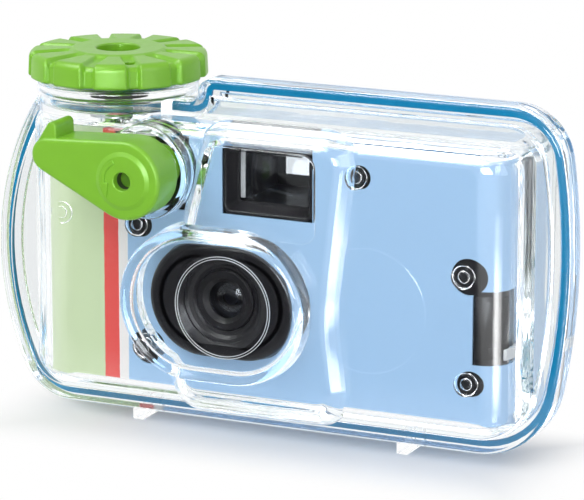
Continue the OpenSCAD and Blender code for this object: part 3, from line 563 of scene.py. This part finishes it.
# clear case
caseLook = {
    "wall": 2.0, "gap": 1.0, "seatGap": 0.3, "seamGap": 0.03, "flangeT": 3.5, "ridgeIn": 3.2, "ridgeT": 1.4,
    "rimRound": 1.0, "ridgeRound": 0.8, "cornerR": 12.0, "lowR": 17.0, "headR": 5.0, "bulgeR": 62.0,
    "bulgeDrop": 3.4, "sideR": 140.0, "sideRise": 5.5, "shoulderDrop": 2.1, "notchOff": 22.6, "notchOut": 3.0,
    "notchIn": 2.0, "blockR": 5.0, "edgeR": 3.6, "endR": 16.0, "frontR": 8.0, "roomR": 1.6, "roomCorner": 1.0,
    "islandRise": 3.0, "bossGap": 0.4, "towerGap": 0.8, "sharp": 24,
}
blockX0 = camLow.x - caseLook["gap"] - caseLook["wall"]
blockX1 = camHigh.x + caseLook["gap"] + caseLook["wall"]
blockZ0 = camLow.z - caseLook["seatGap"] - caseLook["wall"]
blockZ1 = camHigh.z + caseLook["gap"] + caseLook["wall"]
blockY0 = camLow.y - caseLook["gap"] - caseLook["wall"]
blockY1 = camHigh.y + caseLook["gap"] + caseLook["wall"]
islandY = blockY0 - caseLook["islandRise"]
portY = frontLow.y
bossY = leverHigh.y + caseLook["bossGap"]
towerTop = knobLow.z - caseLook["towerGap"]


def flangeRing(inset):
    look = caseLook
    x0, x1, z0, z1 = shellLow.x, shellHigh.x, shellLow.z, frontHigh.z
    middle = (z0 + z1) / 2
    shoulder = towerTop - look["shoulderDrop"]
    bulge, side = look["bulgeR"], look["sideR"]
    bulgeAt = Vector((x0 + bulge, middle - look["bulgeDrop"]))
    sideAt = Vector((x1 - side, middle + look["sideRise"]))

    def seat(at, big, way, level, r, below):
        rise = at.y - level + below * r
        return Vector((at.x + way * math.sqrt((big - r) ** 2 - rise ** 2), level - below * r))

    def turnOf(at, centre):
        return math.degrees(math.atan2(at.y - centre.y, at.x - centre.x))

    low = seat(sideAt, side, 1, z0, look["lowR"], -1)
    high = seat(sideAt, side, 1, z1, look["cornerR"], 1)
    foot = seat(bulgeAt, bulge, -1, z0, look["cornerR"], -1)
    head = seat(bulgeAt, bulge, -1, shoulder, look["headR"], 1)
    lowTurn, highTurn = turnOf(low, sideAt), turnOf(high, sideAt)
    footTurn, headTurn = turnOf(foot, bulgeAt) + 360, turnOf(head, bulgeAt)
    into, notch = look["notchIn"], knobAt.x + look["notchOff"]
    out = max(look["notchOut"] - inset, 0.2)
    r = look["cornerR"] - inset
    return (arcOf(low.x, low.y, look["lowR"] - inset, -90, lowTurn, 16)
            + arcOf(sideAt.x, sideAt.y, side - inset, lowTurn, 0, 8)[1:-1]
            + arcOf(sideAt.x, sideAt.y, side - inset, 0, highTurn, 8)[:-1]
            + arcOf(high.x, high.y, r, highTurn, 90, 14)
            + arcOf(notch + inset + out, z1 - inset - out, out, 90, 180, 6)
            + arcOf(notch - into, shoulder + into, into + inset, 0, -90, 8)
            + arcOf(head.x, head.y, max(look["headR"] - inset, 0.3), 90, headTurn, 8)
            + arcOf(bulgeAt.x, bulgeAt.y, bulge - inset, headTurn, footTurn, 24)[1:-1]
            + arcOf(foot.x, foot.y, r, footTurn, 270, 12))


def roundIn(r, depth):
    return 0.0 if depth >= r else r - math.sqrt(r * r - (r - depth) ** 2)


# block with its own round on the left end, the right end, and the top and bottom
def blockSolid(way, face, start, inset, edge, corner):
    endR, sideR = caseLook["endR"] - inset, caseLook["frontR"] - inset
    top = face - way * inset
    full = abs(top - start)
    depths = {full}
    for r in (edge, sideR, endR):
        for turn in range(0, 91, 10):
            depth = round(r * (1 - math.cos(math.radians(turn))), 2)
            if depth < full - 0.3:
                depths.add(depth)
    rings = []
    for depth in sorted(depths):
        level = roundIn(edge, depth)
        x0, x1 = blockX0 + inset + roundIn(endR, depth), blockX1 - inset - roundIn(sideR, depth)
        z0, z1 = blockZ0 + inset + level, blockZ1 - inset - level
        ring = roundRect(x0, z0, x1, z1, max(corner - level, 0.4), 12)
        rings.append(ringAt(ring, top - way * depth))
    shape = Shape()
    shape.loft(rings)
    return shape


def solidOf(ringFor, path, way=1, start=0.0):
    shape = Shape()
    shape.loft([ringAt(ringFor(u), start + way * v) for u, v in path])
    return shape


def turnedSolid(path, centre, axis, count=72, loop=False):
    shape = Shape()
    shape.lathe(path, centre, axis, count, loop)
    return shape


def shellSolids(way, face):
    look = caseLook
    low, high, into = look["flangeT"], look["flangeT"] + look["ridgeT"], look["ridgeIn"]
    rim = filletPath([(0, look["seamGap"], 0), (0, low, look["rimRound"]), (1.8, low, 0)], steps=7)
    ridge = filletPath([(into, low - 0.7, 0), (into + 0.2, high, look["ridgeRound"]), (into + 1.5, high, 0)],
                       steps=7)
    adds = [solidOf(flangeRing, path, way, seamY) for path in (rim, ridge)]
    block = blockSolid(way, face, seamY + way * look["seamGap"], 0, look["edgeR"], look["blockR"])
    room = blockSolid(way, face, seamY - way, look["wall"], look["roomR"], look["roomCorner"])
    return block, adds, room


def insetLoop(ring, inset):
    count = len(ring)
    moved = []
    for k in range(count):
        before = (ring[k] - ring[k - 1]).normalized()
        after = (ring[(k + 1) % count] - ring[k]).normalized()
        along = (before + after).normalized()
        normal = Vector((-along.y, along.x))
        moved.append(tuple(ring[k] + normal * inset))
    return moved


islandLook = {
    "outline": [(20.95, 54.9, 4.0), (-8.25, 54.9, 4.0), (-12.25, 40.5, 9.0), (-15.15, 28.5, 9.0),
                (-16.15, 12.5, 9.0), (-15.85, -0.3, 4.0), (18.95, -0.3, 4.0), (16.75, 20.5, 40.0)],
    "slope": 3.6, "roomSlope": 2.2, "wall": 0.9, "round": 1.8, "top": 3.2,
}


def islandSolids():
    look, inside = islandLook, caseLook["wall"]
    outline = filletPath([(camMid.x + x, camLow.z + z, r) for x, z, r in look["outline"]], True, 8, 1.0)
    outer = [(-look["slope"], blockY0 + 1.0, 0), (0, islandY, look["round"]), (look["top"], islandY, 0)]
    inner = [(-look["roomSlope"], blockY0 + inside + 0.4, 0), (look["wall"], islandY + inside, look["round"]),
             (look["top"], islandY + inside, 0)]

    def ring(inset):
        return insetLoop(outline, inset)

    return [solidOf(ring, filletPath(path, steps=7)) for path in (outer, inner)]


finderPanel = {"x0": -10.25, "x1": 15.75, "z0": 34.9, "z1": 53.9, "r": 3.2, "rise": 0.25}


def panelSolid():
    look = finderPanel
    face = islandY - look["rise"]
    x0, x1 = camMid.x + look["x0"], camMid.x + look["x1"]
    z0, z1 = camLow.z + look["z0"], camLow.z + look["z1"]

    def ring(inset):
        return roundRect(x0 + inset, z0 + inset, x1 - inset, z1 - inset, max(look["r"] - inset, 0.4))

    return solidOf(ring, filletPath([(0, islandY + 0.5, 0), (0.25, face, 0.35), (1.6, face, 0)], steps=6))


portLook = {"r": 16.0, "half": 4.9, "wall": 2.0, "round": 1.6, "roomRound": 1.2}


def portSolids():
    look = portLook
    r, inR, inside = look["r"], look["r"] - look["wall"], portY + look["wall"]
    outer = [(r + 0.6, blockY0 + 1.0, 0), (r - 0.1, portY, look["round"]), (r - 4, portY, 0)]
    inner = [(inR + 0.6, blockY0 + caseLook["wall"] + 0.5, 0), (inR, inside, look["roomRound"]),
             (r - 5, inside, 0)]

    def ring(reach):
        return stadium(lensAt.x, lensAt.z, reach, look["half"], 120)

    return [solidOf(ring, filletPath(path, steps=8)) for path in (outer, inner)]


bossLook = {"r": 9.9, "rim": 1.2, "tubeR": 5.2, "boreR": 3.1}


def bossSolids():
    look = bossLook
    r, inR, tube = look["r"], look["r"] - look["rim"], look["tubeR"]
    floor, base = blockY0 - 0.4, blockY0 + caseLook["wall"]
    body = filletPath([(r, base, 0), (r, bossY, 0.5), (r - 1.2, bossY, 0)], steps=6)
    cup = filletPath([(inR, bossY - 1, 0), (inR - 0.1, floor, 0.6), (tube, floor, 0.5),
                      (tube - 0.1, bossY - 1, 0)], True, 6)
    bore = [(look["boreR"], bossY - 1), (look["boreR"], base + 1)]
    trim = [(tube + 0.4, bossY - 1), (tube + 0.4, bossY + 0.5)]
    return [turnedSolid(body, leverAt, "Y", 80), turnedSolid(cup, leverAt, "Y", 80, True),
            turnedSolid(bore, leverAt, "Y", 48), turnedSolid(trim, leverAt, "Y", 80)]


towerLook = {"r": 16.6, "wall": 2.0, "hood": 2.0, "lip": 0.5, "tubeR": 5.0, "boreR": 3.1, "play": 0.05}


def towerSolids():
    look = towerLook
    r, inR, lipR, tube = look["r"], look["r"] - look["wall"], look["r"] + look["lip"], look["tubeR"]
    under, base = towerTop - look["hood"], blockZ1 - caseLook["wall"]
    body = filletPath([(r, base, 0), (r, towerTop - 2.6, 0.3), (lipR, towerTop - 2.2, 0.3),
                       (lipR, towerTop, 0.7), (r - 2, towerTop, 0)], steps=6)
    room = filletPath([(tube, blockZ1, 0.5), (tube, under, 0.8), (inR, under, 1.2), (inR, blockZ1, 0.8)],
                      True, 6)
    bore = [(look["boreR"], base - 1), (look["boreR"], towerTop + 1)]
    seat = [(r + look["play"], base - look["play"]), (r + look["play"], towerTop + 5)]
    return [turnedSolid(body, knobAt, "Z", 96), turnedSolid(room, knobAt, "Z", 96, True),
            turnedSolid(bore, knobAt, "Z", 48), turnedSolid(seat, knobAt, "Z", 96)]


pegLook = {
    "places": [(-27.5, 34.2), (-26.0, 8.1), (22.3, 48.9), (46.0, 30.7), (46.8, 8.5)],
    "plain": [(-45.0, 35.1)], "r": 2.3, "boreR": 1.25, "into": 0.25, "short": -0.05,
}


def pegSolids():
    look = pegLook
    r, bore, root = look["r"], look["boreR"], blockY0 + 1.4
    solids = []
    for x, z in look["places"] + look["plain"]:
        end = camLow.y + (look["into"] if (x, z) in look["places"] else look["short"])
        path = [(r + 0.3, root, 0), (r, end, 0.3), (bore, end, 0.2), (bore - 0.3, root, 0)]
        at = Vector((camMid.x + x, 0, camLow.z + z))
        solids.append(turnedSolid(filletPath(path, True, 4), at, "Y", 32, True))
    return solids


embossLook = {"x": 25.65, "z": 21.9, "r": 14.5, "rise": 0.14}


def embossSolid():
    look = embossLook
    r, face = look["r"], blockY0 - look["rise"]
    path = filletPath([(r, blockY0 + 0.5, 0), (r - 1.6, face, 0.6), (r - 3.6, face, 0)], steps=6)
    return turnedSolid(path, Vector((camMid.x + look["x"], 0, camLow.z + look["z"])), "Y", 96)


footLook = {"places": [-32.4, 28.7], "w": 4.8, "tip": 2.4, "back": 10.0, "hook": 2.6, "play": 0.12}


def footSolids():
    look = footLook
    z1, tip, play = shellLow.z, look["tip"], look["play"]
    flange, back = caseLook["flangeT"], seamY + look["back"]
    ends = [(z1 + 0.6, seamY - flange + 0.1, seamY - caseLook["seamGap"]), (z1 - play, seamY - 0.5, back)]
    solids = []
    for place in look["places"]:
        x = camMid.x + place
        for top, y0, y1 in ends:
            reach = tip + (look["w"] - tip) * top / z1
            outline = filletPath([(x, 0, 0.3), (x + tip, 0, 0.3), (x + reach, top, 0), (x, top, 0)], True, 4)
            path = [(0.25, y0), (0.07, y0 + 0.07), (0, y0 + 0.25),
                    (0, y1 - 0.25), (0.07, y1 - 0.07), (0.25, y1)]
            solids.append(solidOf(lambda inset, loop=outline: insetLoop(loop, inset), path))
        hook = Shape()
        hook.box((x + 0.02, seamY + flange + play, z1 / 2), (x + tip, back - 0.02, z1 + look["hook"]), 0.3)
        solids.append(hook)
    return solids


frontBlock, frontAdds, frontRoom = shellSolids(-1, blockY0)
rearBlock, rearAdds, rearRoom = shellSolids(1, blockY1)
island, islandRoom = islandSolids()
port, portRoom = portSolids()
boss, bossCup, bossBore, bossTrim = bossSolids()
tower, towerRoom, towerBore, towerSeat = towerSolids()
frontMesh = carve("clearFront", frontBlock, frontAdds + [island, panelSolid(), port, boss, embossSolid()],
                  [frontRoom, islandRoom, portRoom, bossCup, bossBore, bossTrim, towerSeat],
                  pegSolids() + footSolids())
addPiece("clearFront", frontMesh, "clear_shell", "case", ["front_shell"])
rearMesh = carve("clearBack", rearBlock, rearAdds + [tower], [rearRoom, towerRoom, towerBore], [])
addPiece("clearBack", rearMesh, "clear_shell", "case", ["rear_shell"])
print("clear case: front", len(frontMesh.polygons), "faces, back", len(rearMesh.polygons), "faces")


# wind knob
knobLook = {
    "r": 19.0, "round": 1.5, "fall": 0.5, "recessR": 4.6, "recess": 3.0, "postR": 4.2,
    "lobes": 12, "perLobe": 40, "turn": 7.4, "channel": 1.25, "blur": 0.4, "depth": 0.85, "sideDepth": 0.9,
    "channelEnd": 10.4, "markAt": 13.4, "markTurn": -52.6, "markR": 1.2, "merge": 2e-6,
}


def easeStep(low, high, value):
    t = min(max((value - low) / (high - low), 0), 1)
    return t * t * (3 - 2 * t)


def knobRings():
    look = knobLook
    top, bottom, r = knobHigh.z, knobLow.z, look["r"]
    inR, floor, post = look["recessR"], top - look["recess"], look["postR"]
    path = filletPath([(0.0, floor, 0), (inR, floor, 0.3), (inR, top - 0.1, 0.4), (9.4, top, 0.3),
                       (10.2, top - 0.25, 0.3), (r - 0.25, top - look["fall"], look["round"]),
                       (r, bottom, 0.5), (r - 1.6, bottom, 0.2), (r - 2.2, bottom + 1.0, 0.2),
                       (post, bottom + 1.0, 0.3), (post, bottom + 0.05, 0.2), (0.0, bottom + 0.05, 0)])
    dense = []
    for a, b in zip(path, path[1:]):
        steps = max(1, int((b - a).length / 1.1)) if a.x > 9 and a.y > bottom + 2 else 1
        dense += [a.lerp(b, k / steps) for k in range(steps)]
    return dense + [path[-1]]


def knobSector(start, turn):
    look = knobLook
    top, bottom, rimR = knobHigh.z, knobLow.z, look["r"]
    half, blur, end, count = look["channel"], look["blur"], look["channelEnd"], look["perLobe"]
    shape = Shape()
    path = knobRings()
    for r, z in path:
        for k in range(count + 1):
            angle = start + turn * k / count
            across = abs(r * math.sin((k / count - 0.5) * turn))
            channel = 1 - easeStep(half - blur, half + blur, across)
            if z > bottom + 1.5:
                channel *= easeStep(end - 0.5, end + 0.8, r)
            reach = r - look["sideDepth"] * channel * easeStep(rimR - 2.6, rimR - 0.6, r)
            drop = look["depth"] * channel * easeStep(bottom - 0.5, bottom + 2, z) if z > top - 2.2 else 0
            x, y = knobAt.x + reach * math.cos(angle), knobAt.y + reach * math.sin(angle)
            shape.verts.append((x, y, z - drop))
    wide = count + 1
    for row in range(len(path) - 1):
        for k in range(row * wide, row * wide + count):
            shape.faces.append((k, k + 1, k + wide + 1, k + wide))
    return shape


lobeTurn = 2 * math.pi / knobLook["lobes"]
sector = knobSector(math.radians(knobLook["turn"]) - lobeTurn / 2, lobeTurn)
knobMesh = runTree("windKnob", meshOf("knobSector", sector), turnedArray(),
                   {"Count": knobLook["lobes"], "Centre": Vector((knobAt.x, knobAt.y, 0)) * mm,
                    "Merge": knobLook["merge"], "Finish": finishes["green_plastic"]})
markTurn = math.radians(knobLook["markTurn"])
markAt = knobAt + Vector((math.cos(markTurn), math.sin(markTurn), 0)) * knobLook["markAt"]
markRing = arcOf(markAt.x, markAt.y, knobLook["markR"], 0, 360, 32)[:-1]
hole = Shape()
hole.loft([[(x, y, z) for x, y in markRing] for z in (knobLow.z + 1.6, knobHigh.z + 1)])
knobMesh = cutFrom("windKnob", knobMesh, meshOf("knobMark", hole))
addPiece("windKnob", knobMesh, "green_plastic", "wind", ["wind_knob"])
print("wind knob:", len(knobMesh.polygons), "faces")


# shutter lever
leverLook = {
    "hubR": 8.2, "tipR": 3.6, "tipX": -17.49, "tipZ": 3.8, "round": 1.1, "holeR": 1.9, "holeDeep": 7.0,
    "padR": 5.8, "padRise": 0.4, "earX": -16.6, "earZ": 9.6, "earR": 1.1, "earBase": 2.7,
    "arrowOut": 4.8, "arrowIn": 3.9, "arrowFrom": 115, "arrowTo": 184,
    "arrowHead": [(5.15, 186), (4.95, 226), (3.1, 190), (3.9, 187)],  # radius and turn of each corner
}


def shutterLever():
    look = leverLook
    shape = Shape()
    hub, tip = (leverAt.x, leverAt.z), (leverAt.x + look["tipX"], leverAt.z + look["tipZ"])
    face = leverLow.y + look["padRise"] + 0.45
    back = leverHigh.y

    def outer(inset):
        return twoCircles(hub, look["hubR"] - inset, tip, look["tipR"] - inset, 48)

    turns = [math.atan2(z - hub[1], x - hub[0]) for x, z in outer(0)]

    def circle(r):
        return [(hub[0] + r * math.cos(turn), hub[1] + r * math.sin(turn)) for turn in turns]

    edge = filletPath([(1.5, back, 0), (0, back, 0.5), (0, face, look["round"]), (1.6, face, 0)])
    rings = [ringAt(outer(u), v) for u, v in edge]
    pad, hole, top, floor = look["padR"], look["holeR"], face - look["padRise"], face + look["holeDeep"]
    dish = filletPath([(pad + 0.7, face, 0), (pad + 0.3, face, 0.3), (pad - 0.6, top, 0.6), (hole, top, 0.25),
                       (hole, floor, 0), (0.3, floor, 0)])
    rings += [ringAt(circle(u), v) for u, v in dish]
    shape.loft(rings)
    ear = filletPath([(0.6, back - 0.2, 0), (0, back - 0.4, 0.4), (0, face + 0.5, 0.9), (0.8, face + 0.5, 0)])
    earFoot, earTop = (tip[0] - 0.5, tip[1] + 0.6), (hub[0] + look["earX"], hub[1] + look["earZ"])
    rings = []
    for u, v in ear:
        outline = twoCircles(earFoot, look["earBase"] - u * 0.9, earTop, look["earR"] - u * 0.9, 24)
        rings.append(ringAt(outline, v))
    shape.loft(rings)
    arrow = arcOf(*hub, look["arrowOut"], look["arrowFrom"], look["arrowTo"], 10)
    for r, turn in look["arrowHead"]:
        arrow += arcOf(*hub, r, turn, turn, 1)[:1]
    arrow += arcOf(*hub, look["arrowIn"], look["arrowTo"], look["arrowFrom"], 10)
    loop = [Vector(point) for point in arrow]
    levels = ((0, top + 0.1), (0, top - 0.16), (0.1, top - 0.24))
    shape.loft([ringAt(insetLoop(loop, inset), y) for inset, y in levels])
    return shape


leverMesh = meshOf("shutterLever", shutterLever())
addPiece("shutterLever", leverMesh, "green_plastic", "lever", ["shutter_lever"])
holeShadeLook = {"play": 0.02, "wall": 0.1, "boreR": 0.2, "mouth": 2.0}  # black sheet lining the lever's hole, painted shade that darkens the deep hole
holeShadeR = leverLook["holeR"] - holeShadeLook["play"]
holeShadeIn = holeShadeR - holeShadeLook["wall"]
mouth, end = leverLow.y + holeShadeLook["mouth"], leverLow.y + leverLook["holeDeep"]
floor = end - holeShadeLook["wall"]
holeShade = Shape()
holeShade.lathe([(holeShadeR, mouth), (holeShadeR, end), (holeShadeLook["boreR"], end), (holeShadeLook["boreR"], floor),
             (holeShadeIn, floor), (holeShadeIn, mouth)], leverAt, "Y", 40)
addPiece("leverHoleShade", meshOf("leverHoleShade", holeShade), "black_rubber", "lever")
print("shutter lever:", len(leverMesh.polygons), "faces")


# camera inside: lens surround, finder frame, side plate
lensLook = {
    "r": 12.15, "half": 4.5, "round": 2.4, "front": -3.9, "dishR": 10.4, "wellR": 8.6, "barrelR": 6.62,
}


def lensSurround():
    look = lensLook
    r, dishR, well, barrel = look["r"], look["dishR"], look["wellR"], look["barrelR"]
    face, back = camLow.y + look["front"], camLow.y + 0.35
    edge = filletPath([(r + 0.6, back, 0), (r + 0.1, back - 1.2, 0.4), (r, face, look["round"]),
                       (r - 3.0, face, 0)], steps=7)
    dish = filletPath([(dishR, face + 0.05, 0), (dishR - 0.5, face + 0.25, 0.3),
                       (well + 0.3, face + 1.3, 0.3), (well - 0.4, face + 1.5, 0.3),
                       (barrel + 0.6, face + 2.3, 0.3), (barrel, face + 2.5, 0.2),
                       (barrel, back, 0)], steps=4)

    def ring(reach, half, y):
        return ringAt(stadium(lensAt.x, lensAt.z, reach, half, 96), y)

    rings = [ring(u, look["half"] if u > 9.5 else look["half"] * 0.9, v) for u, v in edge]
    rings += [ring(u, 0, v) for u, v in dish]
    rings.append(ring(barrel + 1.0, 0, back))
    shape = Shape()
    shape.loft(rings, loop=True)
    return shape


addPiece("lensSurround", meshOf("lensSurround", lensSurround()), "black_plastic", "case")
finderLook = {"x0": -7.8, "x1": 12.5, "z0": 38.45, "z1": 52.5, "r": 1.7, "lip": 2.0, "deep": 3.4}
finderX0, finderX1 = camMid.x + finderLook["x0"], camMid.x + finderLook["x1"]
finderZ0, finderZ1 = camLow.z + finderLook["z0"], camLow.z + finderLook["z1"]


def finderFrame():
    lip, face = finderLook["lip"], camLow.y + 0.1
    deep = face + finderLook["deep"]
    path = filletPath([(0, deep, 0), (0, face, 0.3), (0.7, face, 0.3), (lip, deep - 0.4, 0.3),
                       (lip + 0.3, deep, 0)], steps=4)
    rings = []
    for u, v in path:
        r = max(finderLook["r"] - u * 0.5, 0.4)
        rings.append(ringAt(roundRect(finderX0 + u, finderZ0 + u, finderX1 - u, finderZ1 - u * 0.6, r), v))
    shape = Shape()
    shape.loft(rings, loop=True)
    return shape


addPiece("finderFrame", meshOf("finderFrame", finderFrame()), "black_plastic", "case")
sideLook = {
    "cornerR": 5.0, "card": 0.4,
    "fields": [(-96, -10, -6.8, 6.2, 0.12), (-72, -22, -3.6, 5.6, 0.34), (-66, -44, -6.4, -4.2, 0.3)],
}  # each field's first and last turn, low and high end from the lens, and rise


def sidePlate():
    look = sideLook
    shape = Shape()
    x, y = camHigh.x - look["cornerR"], camLow.y + look["cornerR"]
    inner = look["cornerR"] - look["card"] - 0.1
    for start, end, low, high, rise in look["fields"]:
        rings = []
        z0, z1 = lensAt.z + low, lensAt.z + high
        for inset, z in ((0.2, z0), (0, z0 + 0.2), (0, z1 - 0.2), (0.2, z1)):
            outer = arcOf(x, y, inner + rise + 0.1 - inset * 0.6, start + inset * 3, end - inset * 3, 18)
            back = arcOf(x, y, inner - 0.2, end, start, 18)
            rings.append([(a, b, z) for a, b in outer + back])
        shape.loft(rings)
    return shape


addPiece("sidePlate", meshOf("sidePlate", sidePlate()), "black_plastic", "case")

# milky pieces: tab on the right end, rings in the lens port, bar in the finder
tabLook = {"low": (0.05, 0.4, 14.0), "high": (0.9, 13.4, 16.3), "edge": 0.25}  # from the right front corner
corner = Vector((camHigh.x, camLow.y, camLow.z))
tab = Shape()
tab.box(corner + Vector(tabLook["low"]), corner + Vector(tabLook["high"]), tabLook["edge"])
ringLook = {"radii": (10.3, 10.8), "wire": 0.13, "edge": 0.05, "shift": (2.6, 0, 0.2)}
ringY = portY + portLook["wall"]
portRing = Shape()
for r in ringLook["radii"]:
    sides = ((r - ringLook["wire"], -0.1), (r, -0.1), (r, 0.2), (r - ringLook["wire"], 0.2))
    path = filletPath([(reach, ringY + y, ringLook["edge"]) for reach, y in sides], True, 3)
    portRing.lathe(path, lensAt + Vector(ringLook["shift"]), "Y", 120)
barLook = {"x": 2.4, "w": 1.0, "y": 3.7, "deep": 0.5, "low": 2.8, "high": 1.6, "edge": 0.15}
barX, barY = finderX0 + barLook["x"], camLow.y + barLook["y"]
finderBar = Shape()
finderBar.box((barX, barY, finderZ0 + barLook["low"]),
              (barX + barLook["w"], barY + barLook["deep"], finderZ1 - barLook["high"]), barLook["edge"])
milky = milkyPlastic("milkyShell", rgb(0.86, 0.88, 0.91))
for name, shape in (("caseTab", tab), ("portRing", portRing), ("finderBar", finderBar)):
    mesh = meshOf(name, shape)
    addPiece(name, mesh, "clear_shell", "case")
    mesh.materials[0] = milky

# coil springs, each with its axis, turns and wire radius
springLook = {
    "lever_spring": ("Y", 2.5, 0.4), "shutter_spring": ("Y", 1.0, 0.14), "button_spring": ("Z", 1.0, 0.1),
}
springTree = coilTree()
for node, (axis, turns, wire) in springLook.items():
    low, high = spanOf(node)
    size, at = high - low, (low + high) / 2 * mm
    along = size.y if axis == "Y" else size.z
    half = (along / 2 - wire) * mm
    mesh = runTree(node + "Coil", bpy.data.meshes.new(node), springTree,
                   {"Turns": turns, "Radius": (size.x / 2 - wire) * mm, "Height": 2 * half, "Wire": wire * mm,
                    "Finish": finishes["bright_steel"]})
    for vert in mesh.vertices:
        x, y, z = vert.co
        vert.co = at + Vector((x, half - z, y) if axis == "Y" else (x, y, z - half))
    addPiece(node + "Coil", mesh, "bright_steel", "case", [node])
print("camera pieces done")


# floor, light and camera
studio = {
    "floorSize": 6.0, "floorPaint": rgb(0.86, 0.86, 0.87), "floorRough": 0.6, "worldLight": 0.5,
    "shadowFrom": -0.018, "shadowTo": 0.004, "shadowLeast": 0.1,  # from the edge of the object's footprint
    "lamps": {"keySoftbox": ((-0.35, -0.55, 0.75), (0.6, 0.45), 5.0),
              "fillSoftbox": ((0.75, -0.35, 0.35), (0.3, 0.7), 2.0)},
    "lampAim": (0, 0, 0.04),
    "shine": ((-0.41, -0.35, 0.84), 0.985, 0.95, 7.0),  # way, inner and outer edge, power
    "lensShine": ((0.25, -0.965, 0.08), 0.972, 0.955, 30.0),
    "gleam": 12.0, "gleamFrom": (0.053, -0.0087), "gleamWay": (0.8, -0.6), "gleamSpread": 0.16,
    "gleamEdge": 0.008, "flag": rgb(0.03, 0.03, 0.035), "flagLean": 0.466,
    "front": rgb(0.7, 0.73, 0.78), "sides": rgb(0.86, 0.88, 0.94), "sideShare": 0.8,
    "azimuth": 25.0, "elevation": 13.8, "distance": 0.7757, "lensMm": 228.1, "sensorMm": 36.0,
    "target": (-1.45, 8.5, 36.9), "targetPixel": (289.0, 255.0), "pixelsPerMm": 4.77, "frame": (584, 500),
    "bounces": 96, "clearLayers": 32,
}
white = rgb(1, 1, 1)


def backVector(azimuth, elevation):
    a, e = math.radians(azimuth), math.radians(elevation)
    return Vector((math.sin(a) * math.cos(e), -math.cos(a) * math.cos(e), math.sin(e)))


def lightRays(tree):
    glossy = tree.add("ShaderNodeLightPath", {}, {}, "Is Glossy Ray")
    bent = glossy.biggest(glossy.beside("Is Transmission Ray"))
    mirrored = glossy.beside("Glossy Depth") > 0.5
    return bent, glossy, glossy.beside("Is Camera Ray"), mirrored


def makeFloor():
    half = studio["floorSize"] / 2
    corners = [(-half, -half, 0), (half, -half, 0), (half, half, 0), (-half, half, 0)]
    mesh = bpy.data.meshes.new("floor")
    mesh.from_pydata(corners, [], [(0, 1, 2, 3)])
    floor = newObject("floor", mesh)
    paint = Paint("paleFloor")
    bent, glossy, seen, mirrored = lightRays(paint)
    x, y, _ = paint.axesOf(paint.place())
    far = (abs(x) - cadBox[1][0]).biggest(abs(y) - cadBox[1][1])
    away = far.fade(studio["shadowFrom"], studio["shadowTo"], studio["shadowLeast"], 1.0)
    strip = abs(x - y * studio["flagLean"])  # the floor that the flat front mirrors towards the camera
    dark = y.fade(-0.075, -0.03, 1.0, 0.0) * strip.fade(0.07, 0.12, 1.0, 0.0)
    (fromX, fromY), (wayX, wayY) = studio["gleamFrom"], studio["gleamWay"]
    along = (x - fromX) * wayX + (y - fromY) * wayY
    across = abs((x - fromX) * wayY - (y - fromY) * wayX) - along * studio["gleamSpread"]
    gleam = across.fade(-studio["gleamEdge"], studio["gleamEdge"], studio["gleam"], 0.0)
    gleam = gleam * along.fade(0.03, 0.07, 0.0, 1.0) * along.fade(0.12, 0.24, 1.0, 0.0)
    shade = blend(dark * mirrored, white, studio["flag"])
    power = gleam * glossy + 1.0
    bright = paint.add("ShaderNodeVectorMath", {"operation": "SCALE"}, {0: shade, "Scale": power})
    glow = paint.add("ShaderNodeEmission", {}, {"Color": bright})
    plain = paint.principled(Base_Color=studio["floorPaint"], Roughness=studio["floorRough"])
    mesh.materials.append(paint.surface(paint.mixed((away * seen).biggest(bent), plain, glow)))


def makeWorld():
    world = bpy.data.worlds.new("studio")
    bpy.context.scene.world = world
    world.use_nodes = True
    sky = NodeTree(world.node_tree)
    bent, glossy, seen, mirrored = lightRays(sky)
    side, depth, rise = sky.axesOf(sky.add("ShaderNodeTexCoord", {}, {}, "Generated"))
    shade = blend(depth.fade(-0.45, 0.2, 0.0, 1.0), studio["front"], white)
    shade = blend(side * side * studio["sideShare"], shade, studio["sides"])
    shade = blend(rise.fade(0.25, 0.75, 0.0, 1.0), shade, white)
    colour = blend(bent, rgb(*[studio["worldLight"]] * 3), shade)
    colour = blend(seen, colour, white)
    strength = 1.0
    for label, rays in (("shine", glossy), ("lensShine", mirrored)):
        (toX, toY, toZ), inner, outer, power = studio[label]
        facing = side * toX + depth * toY + rise * toZ
        strength = facing.fade(outer, inner, 0.0, power) * rays + strength
    glow = sky.add("ShaderNodeBackground", {}, {"Color": colour, "Strength": strength})
    sky.add("ShaderNodeOutputWorld", {}, {"Surface": glow})


def areaLight(name, place, size, power):
    lamp = bpy.data.lights.new(name, "AREA")
    lamp.shape = "RECTANGLE"
    lamp.size, lamp.size_y = size
    lamp.energy = power
    light = newObject(name, lamp)
    light.location = place
    way = Vector(studio["lampAim"]) - Vector(place)
    light.rotation_euler = way.to_track_quat("-Z", "Y").to_euler()


def makeCamera():
    lens = bpy.data.cameras.new("photoCamera")
    lens.lens = studio["lensMm"]
    lens.sensor_width = studio["sensorMm"]
    camera = newObject("photoCamera", lens)
    back = backVector(studio["azimuth"], studio["elevation"])
    right = Vector((0, 0, 1)).cross(back).normalized()
    up = back.cross(right)
    offX = (studio["frame"][0] / 2 - studio["targetPixel"][0]) / studio["pixelsPerMm"]
    offY = (studio["targetPixel"][1] - studio["frame"][1] / 2) / studio["pixelsPerMm"]
    aim = (Vector(studio["target"]) + right * offX + up * offY) * mm
    camera.location = aim + back * studio["distance"]
    camera.rotation_euler = back.to_track_quat("Z", "Y").to_euler()
    bpy.context.scene.camera = camera


makeFloor()
makeWorld()
for name, (place, size, power) in studio["lamps"].items():
    areaLight(name, place, size, power)
makeCamera()
scene = bpy.context.scene
scene.view_settings.view_transform = "Standard"
for limit in ("max_bounces", "glossy_bounces", "transmission_bounces"):
    setattr(scene.cycles, limit, studio["bounces"])  # light turns many times inside the clear walls
scene.cycles.transparent_max_bounces = studio["clearLayers"]
print("studio done")
